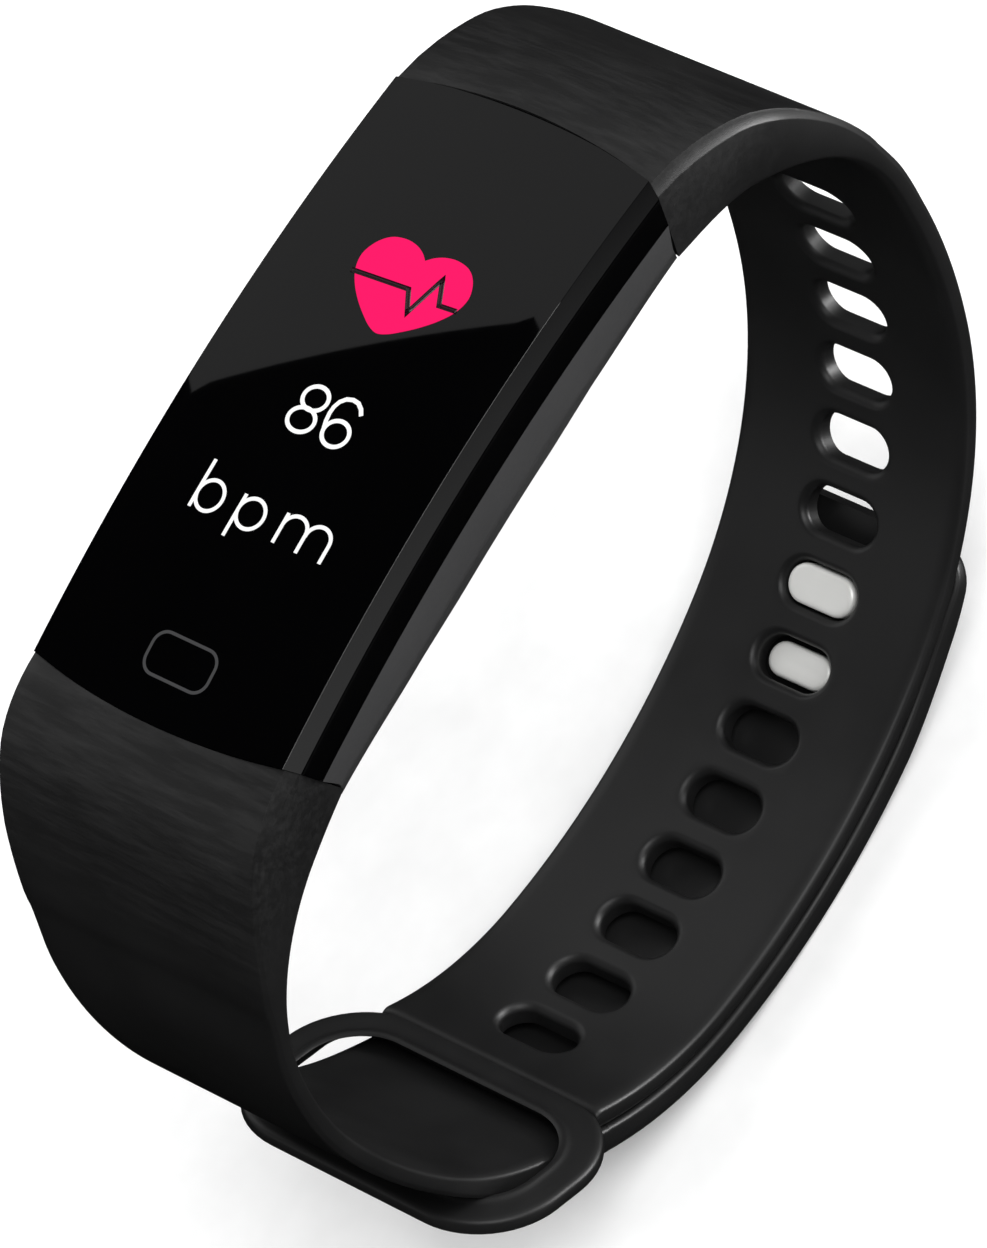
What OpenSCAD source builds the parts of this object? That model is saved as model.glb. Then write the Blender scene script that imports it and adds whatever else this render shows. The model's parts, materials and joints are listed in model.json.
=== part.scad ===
// Fitness tracker band: a slim sensor pod in a two-piece silicone strap, fastened round an empty wrist.
// +X runs along the pod towards the strap with the holes, and +Z points out of the display.
// The origin is the centre of the pod's skin side, on the sensor window's outer face.

/* [Pod] */
// Width of the pod, across the wrist's length
pod_w = 21; // [20.5:0.1:21.5]
// Length of the glass, from corner to corner
pod_l = 41.5; // [41:0.5:43]
// How far each end of the glass bows out beyond its corners
end_bow = 1; // [0.8:0.1:1.2]
// How much shorter each end of the pod is at its foot than at the glass
end_draft = 1.7; // [1.5:0.1:1.9]
// Height of the glass's end corners above the sensor window's outer face
pod_h = 8.2; // [8.2:0.1:8.6]
// How far the glass's long edges arch up from the corners to the middle
arch_h = 1.6; // [1.4:0.1:1.8]
// Rise of the glass's crown above its long edges
crown_h = 0.3; // [0.2:0.1:0.5]

/* [Display and electronics] */
// Size of the colour display's glass, along and across the pod
display_size = [26.6, 12.8]; // [10:0.1:30]
// Centre of the display, along the pod
display_x = 1; // [0:0.5:2]
// Diameter of the vibration motor's can
motor_d = 7; // [6:0.2:7]
// Length, width and thickness of the battery cell
cell_size = [22, 12.4, 1.9]; // [1:0.1:24]

/* [Strap] */
// Width of the strap where it is free of the pod
strap_w = 18.2; // [17:0.2:18.4]
// Thickness of the strap with the holes
strap_t = 1.5; // [1.4:0.1:1.7]
// Thickness of the lower strap, up to the ring
lower_t = 1.3; // [1.2:0.1:1.6]
// Thickness of the lower strap's tail, which lies outside the holes
tail_t = 1.9; // [1.6:0.1:2]
// Gap between the tail and the strap that it lies on
tail_gap = 0.25; // [0.1:0.05:0.3]
// How far the pod's tongues reach beyond the glass's corners, into the strap ends
tongue_l = 3.6; // [3:0.1:3.8]

/* [Holes and clasp] */
// Number of holes in the strap
hole_count = 14; // [12:1:14]
// Distance between hole centres, along the strap
hole_pitch = 5; // [4.9:0.05:5.1]
// Length of a hole across the strap, and its width along the strap
hole_size = [5.7, 3]; // [2:0.1:7]
// Width of the tail at its tip
tip_w = 17.6; // [16.4:0.2:18]
// Gap between a clasp peg and its hole, all round
peg_clearance = 0.22; // [0.15:0.01:0.3]
// Number of the first hole that a clasp peg sits in
first_peg_hole = 7; // [7:1:8]

/* [Ring] */
// Overall width of the ring at the strap's end
ring_w = 24.8; // [24:0.2:26]
// Length of the ring from its root to its free end
ring_l = 13.5; // [13:0.1:14.6]
// Thickness of the ring
ring_t = 1.4; // [1.2:0.1:1.6]
// Start and end of the ring's opening, measured from its root
ring_open = [1.4, 11.4]; // [1:0.1:12]

/* [Hidden] */

$fn = 48;
eps = 0.01;

silicone = [0.13, 0.13, 0.135];
case_grey = [0.2, 0.2, 0.21];
board_green = [0.05, 0.3, 0.18];
chip_black = [0.08, 0.08, 0.09];
gold = [0.85, 0.68, 0.3];
steel = [0.8, 0.8, 0.8];

// Heights are measured from the plane of the glass's end corners; drops are measured from its arched edge
seam = 0.1;
end_r = 50.5;
draft_h = 6.5;
arch_r = (pow(pod_l / 2, 2) + arch_h * arch_h) / (2 * arch_h);
bevel_drop = 1.35;
bevel_out = 0.4;
gasket_t = 0.2;
frame_drop = 3.7;
side_drop = 6.8;
side_inset = 0.4;
case_floor = -7.4;
case_foot_drop = 9.4;
case_foot_inset = 1.6;
case_end_x = [17.8, 20.2];
case_end_z = -6.5;
wall = 1.1;
floor_t = 0.8;
cavity_l = 36.6;
lens_t = 0.9;
display_top = -0.15;
display_t = 0.85;
backlight_t = 0.6;
tray_t = 0.15;

board_size = [36, 14.8, 0.7];
board_top = -2.9;
board_foot = board_top - board_size.z;
boss_x = 16.7;
boss_y = 5.6;
boss_r = 1.2;
screw_r = 0.5;
screw_bite = 1.8;
sensor_hole = [9, 7];
window_size = [12.5, 10];
cell_top = board_foot - 0.35;
cell_x = 3.2;
motor_pos = [-12.1, -4];
can_top = -4.55;
can_foot = -6.5;
can_wall = 0.25;
rotor_clearance = 0.25;
contact_x = 13.2;
contact_y = 3.2;

tongue_root = cavity_l / 2 + 0.7;
tongue_end = pod_l / 2 + tongue_l;
tongue_w = 11;
tongue_t = 1.7;
tongue_top = -3.4;
slot_clearance = 0.15;
socket_l = 8;
socket_end = tongue_end + 0.65;
socket_w = 14;
socket_t = 3.6;
socket_top = -2.4;

// Strap outlines in the XZ plane: [x, z, heading] at the start, then [radius, turn] arcs
upper_in_start = [21.1, -6.3, -27.3];
upper_in = [[24.9, -26.7], [16.1, -37.1], [39.3, -21.3], [28.6, -50.1], [44.3, -31.2], [21.7, -32.9]];
upper_out_start = [21, -0.2, -13];
upper_out = [[13.6, -34.4], [17.9, -16.1], [34.7, -40.6]];
lower_in_start = [-19.4, -5.9, 194.5];
lower_in = [[33.9, 7.4], [16, 52.3], [29.2, 21.9], [45, 19.9]];
lower_out_start = [-20.8, -0.2, 180.2];
lower_out = [[8.3, 46.4], [18.2, 11.3], [41.8, 33]];

upper_in_l = chain_length(upper_in);
path_step = 1.5;
end_in_l = 6.2;
upper_end_out_l = 8.9;
lower_end_out_l = 9.3;
upper_blend_s = 24;
upper_main_s = 20.5;
lower_blend_s = 18;
lower_main_s = 17.5;
lower_free_s = 38.5;
pass_end_s = upper_in_l - 1.5;
pass_pull = 6.8;
first_hole_s = upper_in_l - 4.9 - (hole_count - 1) * hole_pitch;
tip_s = first_hole_s + (first_peg_hole - 1) * hole_pitch - 5;
flex_s = first_hole_s + (first_peg_hole + 2.6) * hole_pitch;
flex_l = 3.6;
ring_angle = 148;
ring_r = 6;
open_w = 20.8;
open_r = 2.6;

// Length of an arc given as [radius, turn]
function arc_length(arc) = arc[0] * abs(arc[1]) * PI / 180;

// Length of a chain of arcs, from its arc number i on
function chain_length(chain, i = 0) =
    i == len(chain) ? 0 : arc_length(chain[i]) + chain_length(chain, i + 1);

// [x, z, heading] after turning by an angle on an arc of radius r from p
function turned(p, r, turn) = [
    p[0] + sign(turn) * r * (sin(p[2] + turn) - sin(p[2])),
    p[1] - sign(turn) * r * (cos(p[2] + turn) - cos(p[2])),
    p[2] + turn];

// [x, z, heading] at distance s along a chain of arcs that starts at p
function along(p, chain, s, i = 0) =
    (i == len(chain) - 1 || s <= arc_length(chain[i]))
        ? turned(p, chain[i][0], sign(chain[i][1]) * s / chain[i][0] * 180 / PI)
        : along(turned(p, chain[i][0], chain[i][1]), chain, s - arc_length(chain[i]), i + 1);

// Point at a distance to the left of [x, z, heading]
function left_of(p, d) = [p[0] - d * sin(p[2]), p[1] + d * cos(p[2])];

// Distances from a to b in equal steps of about path_step
function stations(a, b) =
    let (n = max(2, ceil(abs(b - a) / path_step))) [for (i = [0:n]) a + (b - a) * i / n];

// Line along the strap with the holes, from s = a to b, at a distance out of its skin side
function hole_line(a, b, out) =
    [for (s = stations(a, b)) left_of(along(upper_in_start, upper_in, s), out)];

// Line along the lower strap, from s = a to b, at a distance out of its skin side
function lower_line(a, b, out) =
    [for (s = stations(a, b)) left_of(along(lower_in_start, lower_in, s), -out)];

// Curve that leaves [x, z, heading] p and arrives at q along its heading
function join_point(p, q, pull, t) =
    let (u = 1 - t)
    u * u * u * [p[0], p[1]]
    + 3 * u * u * t * [p[0] + pull * cos(p[2]), p[1] + pull * sin(p[2])]
    + 3 * u * t * t * [q[0] - pull * cos(q[2]), q[1] - pull * sin(q[2])]
    + t * t * t * [q[0], q[1]];

// Lower strap's pass through the ring, a distance out of its skin side: a at its start, b at its end
function pass_line(a, b) =
    let (
        p = along(lower_in_start, lower_in, lower_free_s),
        root = along(upper_in_start, upper_in, pass_end_s),
        start = left_of(p, -a),
        end = left_of(root, strap_t + tail_gap + b),
        from = [start[0], start[1], p[2]],
        to = [end[0], end[1], root[2] + 540],
        pull = pass_pull + 0.5 * b,
        n = 10)
    [for (i = [1:n - 1]) join_point(from, to, pull, i / n)];

function reversed(points) = [for (i = [len(points) - 1:-1:0]) points[i]];

// Moves a shape from the glass's edge plane to the row frame
module on_pod() {
    translate([0, 0, pod_h]) children();
}

// Extrudes an XZ outline across the strap, centred on the middle
module across(points, width) {
    rotate([90, 0, 0]) linear_extrude(width, center = true) polygon(points);
}

// Extrudes a YZ outline along the pod
module lengthwise(points, length) {
    rotate([90, 0, 90]) linear_extrude(length, center = true) polygon(points);
}

// Rectangle with round corners, centred
module round_rect(size, r) {
    square([size[0] - 2 * r, size[1]], center = true);
    square([size[0], size[1] - 2 * r], center = true);
    for (x = [-1, 1], y = [-1, 1])
        translate([x * (size[0] / 2 - r), y * (size[1] / 2 - r)]) circle(r);
}

// Plate with round corners, from height a up to b
module plate(size, r, a, b) {
    translate([0, 0, a]) linear_extrude(b - a) round_rect(size, r);
}

// Space between the pod's two bowed and drafted ends, grown outwards by a margin
module between_ends(margin = 0) {
    top_r = end_r + margin;
    foot_r = end_r - end_draft + margin;
    middle = pod_l / 2 + end_bow - end_r;
    over = 2;
    foot = -draft_h - over;
    intersection_for (side = [-1, 1])
        translate([side * middle, 0, 0])
            rotate_extrude($fn = 180)
                polygon([[0, foot], [foot_r, foot], [foot_r, -draft_h], [top_r, 0], [top_r, over],
                    [0, over]]);
}

// Sweeps an outline along the pod's arch; the outline's x is its height above the glass's edge
module arched() {
    sweep = 21;
    translate([0, 0, arch_h - arch_r])
        rotate([90, 0, 0])
            rotate([0, 0, 90 - sweep / 2])
                rotate_extrude(angle = sweep, $fn = 720) translate([arch_r, 0]) children();
}

// Arched layer of the pod's full width, from drop a down to drop b below the glass's edge
module arched_layer(a, b, width) {
    arched() translate([-b, -width / 2]) square([b - a, width]);
}

// Pod's outer form from drop a down to drop b below the glass's edge
module pod_form(a, b) {
    half = pod_w / 2;
    side = [[0, half - bevel_out], [-bevel_drop, half], [-frame_drop, half],
        [-side_drop, half - side_inset], [-case_foot_drop, half - case_foot_inset]];
    end = [[24, 3], [24, case_end_z], [case_end_x[1], case_end_z], [case_end_x[0], case_floor]];
    intersection() {
        between_ends();
        arched()
            intersection() {
                polygon(concat(side, [for (p = reversed(side)) [p[0], -p[1]]]));
                translate([-b, -half]) square([b - a, 2 * half]);
            }
        across(concat(end, [for (p = reversed(end)) [-p[0], p[1]]]), pod_w + 2);
    }
}

module front_lens() {
    color([0.02, 0.02, 0.025])
    on_pod() {
        difference() {
            union() {
                pod_form(0, bevel_drop);
                half = pod_w / 2 - bevel_out;
                crown_r = (half * half + crown_h * crown_h) / (2 * crown_h);
                intersection() {
                    between_ends();
                    arched()
                        intersection() {
                            translate([crown_h - crown_r, 0]) circle(crown_r, $fn = 720);
                            translate([-0.2, -half]) square([crown_h + 0.4, 2 * half]);
                        }
                }
            }
            intersection() {
                plate([cavity_l + 1.6, pod_w - 2 * wall], 2.5, -4, 2);
                arched_layer(lens_t, 4, pod_w);
            }
        }
    }
}

module lens_gasket() {
    color([0.05, 0.05, 0.05])
    on_pod() {
        intersection() {
            difference() {
                plate([cavity_l + 2.8, pod_w - 0.9], 2.8, -4, 2);
                plate([cavity_l + 1.2, pod_w - 2 * wall - 0.2], 2.4, -5, 3);
            }
            arched_layer(bevel_drop, bevel_drop + gasket_t, pod_w);
        }
    }
}

module mid_frame() {
    color([0.04, 0.04, 0.045])
    on_pod() {
        difference() {
            pod_form(bevel_drop + gasket_t, frame_drop);
            plate([cavity_l + 0.4, pod_w - 2 * wall - 0.6], 2.2, -5, 2);
            // Room over the tongues, which rise a little above the frame's foot
            for (side = [-1, 1])
                translate([side * (tongue_root + tongue_end) / 2, 0, 0])
                    plate([tongue_end - tongue_root + 2 * seam, tongue_w + 2 * seam], 0.8, -5, tongue_top + seam);
        }
    }
}

module rear_case() {
    color(case_grey)
    on_pod() {
        difference() {
            union() {
                difference() {
                    pod_form(frame_drop, 12);
                    plate([cavity_l, pod_w - 2 * wall - 1.9], 2, case_floor + floor_t, 2);
                }
                for (x = [-1, 1], y = [-1, 1])
                    translate([x * boss_x, y * boss_y, case_floor + floor_t - eps])
                        cylinder(r = boss_r, h = board_foot - case_floor - floor_t + eps);
                for (side = [-1, 1])
                    translate([side * (tongue_root + tongue_end) / 2, 0, 0])
                        plate([tongue_end - tongue_root, tongue_w], 0.8, tongue_top - tongue_t, tongue_top);
            }
            for (x = [-1, 1], y = [-1, 1])
                translate([x * boss_x, y * boss_y, board_foot - 2.2]) cylinder(r = screw_r, h = 5);
            plate(sensor_hole, 1, case_floor - 2, 0);
            for (y = [-1, 1])
                translate([contact_x, y * contact_y, case_floor - 1]) cylinder(r = 1.1, h = 3);
        }
    }
}

module sensor_window() {
    color([0.03, 0.03, 0.04])
    on_pod() {
        plate(window_size, 2.5, -pod_h, case_floor);
    }
}

module display_panel() {
    color([0.05, 0.05, 0.08])
    on_pod() {
        translate([display_x, 0, 0]) plate(display_size, 0.4, display_top - display_t, display_top);
    }
}

module backlight_unit() {
    color([0.95, 0.95, 0.92])
    on_pod() {
        top = display_top - display_t;
        translate([display_x, 0, 0]) plate(display_size - [0.4, 0.4], 0.4, top - backlight_t, top);
    }
}

module display_tray() {
    color(steel)
    on_pod() {
        floor_top = display_top - display_t - backlight_t;
        translate([display_x, 0, 0])
        difference() {
            plate(display_size + [0.7, 0.7], 0.6, floor_top - tray_t, display_top - 0.4);
            plate(display_size + [0.2, 0.2], 0.4, floor_top, display_top);
        }
    }
}

module display_flex() {
    color([0.75, 0.42, 0.12])
    on_pod() {
        x = display_x - display_size.x / 2;
        z = display_top - 0.12;
        across([[x, z], [x - 1.6, z - 0.5], [x - 2.2, z - 1], [x - 2.2, board_top], [x - 2.35, board_top],
            [x - 2.35, z - 0.9], [x - 1.7, z - 0.38], [x, z + 0.12]], 8);
    }
}

module touch_pad() {
    color([0.7, 0.45, 0.15])
    on_pod() {
        intersection() {
            translate([-17.1, 0, 0]) plate([3.6, 5], 0.8, -2, 2);
            arched_layer(lens_t, lens_t + 0.15, 8);
        }
    }
}

module main_board() {
    color(board_green)
    on_pod() {
        difference() {
            plate([board_size.x, board_size.y], 1, board_foot, board_top);
            for (x = [-1, 1], y = [-1, 1])
                translate([x * boss_x, y * boss_y, board_foot - 1]) cylinder(r = screw_r + 0.1, h = 3);
        }
    }
}

// Chip on the board's underside, with its centre at x, y
module chip(x, y, size) {
    translate([x - size.x / 2, y - size.y / 2, board_foot - size.z]) cube(size);
}

module processor_chip() {
    color(chip_black) on_pod() chip(-11.9, 2.6, [4.6, 4.6, 0.7]);
}

module memory_chip() {
    color(chip_black) on_pod() chip(-11.2, -2.2, [3.2, 2.6, 0.6]);
}

module motion_chip() {
    color(chip_black) on_pod() chip(-15.4, -1, [2, 2, 0.7]);
}

module power_chip() {
    color(chip_black) on_pod() chip(-16, 2.2, [1.8, 2.4, 0.5]);
}

module radio_antenna() {
    color([0.9, 0.88, 0.8])
    on_pod() {
        translate([16.1, -3, board_top]) cube([1.4, 6, 0.8]);
    }
}

module board_screws() {
    color(steel)
    on_pod() {
        for (x = [-1, 1], y = [-1, 1])
            translate([x * boss_x, y * boss_y, 0]) {
                translate([0, 0, board_foot - screw_bite])
                    cylinder(r = screw_r, h = board_size.z + screw_bite + eps);
                difference() {
                    translate([0, 0, board_top]) cylinder(r = 0.95, h = 0.4);
                    translate([-0.6, -0.1, board_top + 0.2]) cube([1.2, 0.2, 1]);
                    translate([-0.1, -0.6, board_top + 0.2]) cube([0.2, 1.2, 1]);
                }
            }
    }
}

module battery_cell() {
    color([0.72, 0.73, 0.75])
    on_pod() {
        translate([cell_x, 0, 0]) plate([cell_size.x, cell_size.y], 0.9, cell_top - cell_size.z, cell_top);
    }
}

module battery_leads() {
    color([0.7, 0.1, 0.08])
    on_pod() {
        for (y = [-1.2, 1.2])
            translate([cell_x + cell_size.x / 2 + 0.3, y, cell_top - 0.9])
                cylinder(r = 0.3, h = board_foot - cell_top + 0.9, $fn = 24);
    }
}

module motor_can() {
    color(steel)
    on_pod() {
        translate([motor_pos.x, motor_pos.y, 0]) {
            difference() {
                translate([0, 0, can_foot]) cylinder(d = motor_d, h = can_top - can_foot);
                translate([0, 0, can_foot + can_wall])
                    cylinder(r = motor_d / 2 - can_wall, h = can_top - can_foot - 2 * can_wall);
            }
            translate([0, 0, can_foot + can_wall - eps])
                cylinder(r = 0.4, h = can_top - can_foot - 2 * can_wall + 2 * eps);
        }
    }
}

module motor_rotor() {
    color([0.55, 0.52, 0.45])
    on_pod() {
        foot = can_foot + can_wall + rotor_clearance;
        h = can_top - can_foot - 2 * can_wall - 2 * rotor_clearance;
        translate([motor_pos.x, motor_pos.y, foot])
        difference() {
            union() {
                cylinder(r = 1, h = h);
                intersection() {
                    cylinder(r = motor_d / 2 - can_wall - rotor_clearance, h = h);
                    translate([0, -5, 0]) cube([5, 10, h]);
                }
            }
            translate([0, 0, -1]) cylinder(r = 0.45, h = h + 2);
        }
    }
}

module sensor_board() {
    color(board_green)
    on_pod() {
        plate([11.4, 9.4], 0.8, case_floor + floor_t, case_floor + floor_t + 0.4);
    }
}

module sensor_flex() {
    color([0.75, 0.42, 0.12])
    on_pod() {
        z = case_floor + floor_t + 0.4;
        across([[-5, z], [-8.2, z], [-8.2, board_foot], [-8.08, board_foot], [-8.08, z + 0.12],
            [-5, z + 0.12]], 4);
    }
}

// Sensor part that hangs from the sensor board, with its centre at x, y
module sensor_part(x, y, size) {
    translate([x - size.x / 2, y - size.y / 2, case_floor + floor_t - size.z]) cube(size);
}

module pulse_leds() {
    color([0.2, 0.85, 0.35])
    on_pod() {
        for (x = [-2.9, 2.9]) sensor_part(x, 0, [1.4, 1.6, 0.5]);
    }
}

module photodiode() {
    color([0.25, 0.25, 0.3]) on_pod() sensor_part(0, 0, [2.4, 2.8, 0.5]);
}

module light_baffle() {
    color([0.03, 0.03, 0.03])
    on_pod() {
        difference() {
            plate(sensor_hole - [0.2, 0.2], 0.9, case_floor, case_floor + floor_t);
            for (x = [-2.9, 2.9]) translate([x, 0, 0]) plate([1.8, 2.4], 0.4, case_floor - 1, 0);
            plate([2.8, 3.4], 0.4, case_floor - 1, 0);
        }
    }
}

module charge_contacts() {
    color(gold)
    on_pod() {
        for (y = [-1, 1])
            translate([contact_x, y * contact_y, case_floor - 0.1]) {
                cylinder(r = 1.1, h = floor_t + 0.1);
                translate([0, 0, floor_t]) cylinder(r = 0.5, h = 0.5);
            }
    }
}

// Full block that a socket fills in its strap end, on one side of the pod
module socket_space(side) {
    translate([side * (socket_end - socket_l / 2), 0, 0])
        plate([socket_l, socket_w], 1.4, socket_top - socket_t, socket_top);
}

// Hard liner that a strap end is moulded over, with the tongue's slot in it
module socket(side) {
    difference() {
        socket_space(side);
        between_ends(seam);
        translate([side * tongue_end / 2, 0, 0])
            plate([tongue_end + 2 * slot_clearance, tongue_w + 2 * slot_clearance], 0.9,
                tongue_top - tongue_t - slot_clearance, tongue_top + slot_clearance);
    }
}

module upper_socket() {
    color([0.1, 0.1, 0.11]) on_pod() socket(1);
}

module lower_socket() {
    color([0.1, 0.1, 0.11]) on_pod() socket(-1);
}

// Trims a strap to its taper: full width at the pod, strap_w where it hangs free
module strap_taper() {
    half = pod_w / 2;
    side = [[half - bevel_out, 1], [half - bevel_out, -0.2], [half, -1.3], [half, -7],
        [strap_w / 2, -27], [strap_w / 2, -42]];
    lengthwise(concat(side, [for (p = reversed(side)) [-p[0], p[1]]]), 100);
}

// Outer line of a strap at the pod, from distance a to b
function outer_line(start, chain, a, b) = [for (s = stations(a, b)) left_of(along(start, chain, s), 0)];

module upper_strap_end() {
    color(silicone)
    on_pod() {
        intersection() {
            difference() {
                across(concat([[18, -5.4], [18, 0.3]],
                    outer_line(upper_out_start, upper_out, 0, upper_end_out_l),
                    reversed(hole_line(0, end_in_l, 0))), pod_w);
                between_ends(seam);
                socket_space(1);
            }
            strap_taper();
        }
    }
}

module upper_shoulder() {
    color(silicone)
    on_pod() {
        intersection() {
            across(concat(
                outer_line(upper_out_start, upper_out, upper_end_out_l, upper_blend_s),
                [left_of(along(upper_in_start, upper_in, upper_main_s), strap_t)],
                reversed(hole_line(end_in_l, upper_main_s, 0))), pod_w);
            strap_taper();
        }
    }
}

// Stadium hole through the strap at distance s, grown by a margin, from height a to b out of the skin side
module strap_hole(s, margin, a, b) {
    p = along(upper_in_start, upper_in, s);
    w = hole_size[1] + 2 * margin;
    l = hole_size[0] + 2 * margin;
    translate([p[0], 0, p[1]])
        rotate([0, -p[2], 0])
            translate([0, 0, a])
                linear_extrude(b - a) round_rect([w, l], w / 2 - eps);
}

// Ring that closes the strap's end, lying along its own angle from the strap's last point
module ring() {
    root = along(upper_in_start, upper_in, upper_in_l);
    translate([root[0], 0, root[1]])
        rotate([0, -ring_angle, 0])
            difference() {
                translate([ring_l / 2 - 0.3, 0, 0]) plate([ring_l + 0.6, ring_w], ring_r, 0, ring_t);
                translate([(ring_open[0] + ring_open[1]) / 2, 0, 0])
                    plate([ring_open[1] - ring_open[0], open_w], open_r, -1, ring_t + 1);
            }
}

module hole_strap() {
    color(silicone)
    on_pod() {
        difference() {
            across(concat(hole_line(upper_main_s, upper_in_l + 0.8, strap_t),
                reversed(hole_line(upper_main_s, upper_in_l + 0.8, 0))), strap_w);
            for (i = [0:hole_count - 1]) strap_hole(first_hole_s + i * hole_pitch, 0, -1, strap_t + 1);
        }
        ring();
    }
}

module lower_strap_end() {
    color(silicone)
    on_pod() {
        intersection() {
            difference() {
                across(concat([[-17, -5.4], [-17, 0.2]],
                    outer_line(lower_out_start, lower_out, 0, lower_end_out_l),
                    reversed(lower_line(0, end_in_l + 1.6, 0))), pod_w);
                between_ends(seam);
                socket_space(-1);
            }
            strap_taper();
        }
    }
}

module lower_shoulder() {
    color(silicone)
    on_pod() {
        intersection() {
            across(concat(
                outer_line(lower_out_start, lower_out, lower_end_out_l, lower_blend_s),
                [left_of(along(lower_in_start, lower_in, lower_main_s), -lower_t)],
                reversed(lower_line(end_in_l + 1.6, lower_main_s, 0))), pod_w);
            strap_taper();
        }
    }
}

module lower_strap() {
    color(silicone)
    on_pod() {
        tail_in = strap_t + tail_gap;
        to = flex_s + flex_l / 2;
        across(concat(
            lower_line(lower_main_s, lower_free_s, 0), pass_line(0, 0), hole_line(pass_end_s, to, tail_in),
            reversed(hole_line(pass_end_s, to, tail_in + tail_t)), reversed(pass_line(lower_t, tail_t)),
            reversed(lower_line(lower_main_s, lower_free_s, lower_t))), strap_w);
    }
}

// Stretch of the tail, from distance a to b along the strap with the holes
module tail(a, b) {
    tail_in = strap_t + tail_gap;
    across(concat(hole_line(a, b, tail_in), reversed(hole_line(a, b, tail_in + tail_t))), strap_w);
}

module tail_flex() {
    color(silicone) on_pod() tail(flex_s - flex_l / 2, flex_s + flex_l / 2);
}

// Block with the tail's round tip and its taper from tip_w to the strap's width
module tip_outline() {
    tip = along(upper_in_start, upper_in, tip_s);
    long = 24;
    side = [[-1, tip_w / 2], [7, tip_w / 2], [15, strap_w / 2], [long, strap_w / 2]];
    translate([tip[0], 0, tip[1]])
        rotate([0, -tip[2], 0])
            translate([0, 0, -8])
                linear_extrude(16)
                    intersection() {
                        translate([long / 2 - 0.05, 0]) round_rect([long, strap_w], 3.5);
                        polygon(concat(side, [for (p = reversed(side)) [p[0], -p[1]]]));
                    }
}

module clasp_tail() {
    color(silicone)
    on_pod() {
        difference() {
            intersection() {
                tail(tip_s, flex_s - flex_l / 2);
                tip_outline();
            }
            peg_bodies();
        }
    }
}

// Clasp: a thin plate moulded into the tail, with two pill-shaped pegs through the strap's holes
module peg_bodies() {
    first_peg_s = first_hole_s + (first_peg_hole - 1) * hole_pitch;
    plate_a = first_peg_s - 2.4;
    plate_b = plate_a + hole_pitch + 4.8;
    plate_t = 0.5;
    plate_in = strap_t + tail_gap + 0.5;
    for (i = [0, 1])
        strap_hole(first_peg_s + i * hole_pitch, -peg_clearance, 0.25, plate_in + 0.2);
    across(concat(
        hole_line(plate_a, plate_b, plate_in),
        reversed(hole_line(plate_a, plate_b, plate_in + plate_t))), 9);
}

module clasp_pegs() {
    color(steel) on_pod() peg_bodies();
}

front_lens();
lens_gasket();
mid_frame();
rear_case();
sensor_window();
display_panel();
backlight_unit();
display_tray();
display_flex();
touch_pad();
main_board();
processor_chip();
memory_chip();
motion_chip();
power_chip();
radio_antenna();
board_screws();
battery_cell();
battery_leads();
motor_can();
motor_rotor();
sensor_board();
sensor_flex();
pulse_leds();
photodiode();
light_baffle();
charge_contacts();
upper_socket();
upper_strap_end();
upper_shoulder();
hole_strap();
lower_socket();
lower_strap_end();
lower_shoulder();
lower_strap();
tail_flex();
clasp_tail();
clasp_pegs();
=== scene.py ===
import json
import math

import bmesh
import bpy
import numpy as np
from mathutils import Matrix, Vector

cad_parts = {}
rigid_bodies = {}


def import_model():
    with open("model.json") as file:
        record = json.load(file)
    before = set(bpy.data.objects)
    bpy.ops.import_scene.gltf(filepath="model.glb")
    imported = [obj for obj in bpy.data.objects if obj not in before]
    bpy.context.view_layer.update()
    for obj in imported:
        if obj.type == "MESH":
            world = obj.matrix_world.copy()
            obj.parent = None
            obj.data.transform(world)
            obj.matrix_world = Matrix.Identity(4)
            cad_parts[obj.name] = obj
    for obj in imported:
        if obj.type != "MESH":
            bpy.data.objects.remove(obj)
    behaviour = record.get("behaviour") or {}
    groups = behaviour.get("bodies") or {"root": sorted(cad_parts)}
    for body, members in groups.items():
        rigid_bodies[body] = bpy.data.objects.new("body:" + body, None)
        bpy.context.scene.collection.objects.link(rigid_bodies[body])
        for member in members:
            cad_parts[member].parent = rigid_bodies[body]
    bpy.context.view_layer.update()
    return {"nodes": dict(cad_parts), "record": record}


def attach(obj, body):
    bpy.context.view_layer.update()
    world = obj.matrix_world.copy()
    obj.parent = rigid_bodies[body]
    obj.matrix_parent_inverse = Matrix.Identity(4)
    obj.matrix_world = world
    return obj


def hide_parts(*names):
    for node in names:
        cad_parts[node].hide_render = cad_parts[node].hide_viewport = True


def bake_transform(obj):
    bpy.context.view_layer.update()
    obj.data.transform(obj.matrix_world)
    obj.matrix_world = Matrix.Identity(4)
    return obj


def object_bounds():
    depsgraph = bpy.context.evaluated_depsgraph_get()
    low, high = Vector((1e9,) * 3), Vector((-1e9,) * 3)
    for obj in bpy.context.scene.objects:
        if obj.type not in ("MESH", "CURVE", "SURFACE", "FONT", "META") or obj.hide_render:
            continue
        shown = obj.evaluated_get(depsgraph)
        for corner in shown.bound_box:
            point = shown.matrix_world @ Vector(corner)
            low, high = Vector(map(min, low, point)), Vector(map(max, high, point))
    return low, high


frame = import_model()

# Fitness tracker band. Lengths are in millimetres until a mesh is made, which scales them to metres.
MM = 0.001
POD_H = 8.2  # height of the glass's end corners above the row frame's origin
POD_L, POD_W = 41.5, 21.0
ARCH_H, CROWN_H = 1.6, 0.26
END_BOW, END_R, END_DRAFT, DRAFT_H = 1.0, 50.5, 1.7, 6.5
BEVEL_DROP, BEVEL_OUT = 1.35, 0.4
FRAME_DROP, SIDE_DROP, SIDE_INSET = 3.7, 6.8, 0.4
FOOT_RISE = (0.72, 0.52)  # at the lower strap's end and at the upper strap's end
FOOT_RISE_FROM, FOOT_RISE_OVER = 9.0, 11.5
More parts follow.
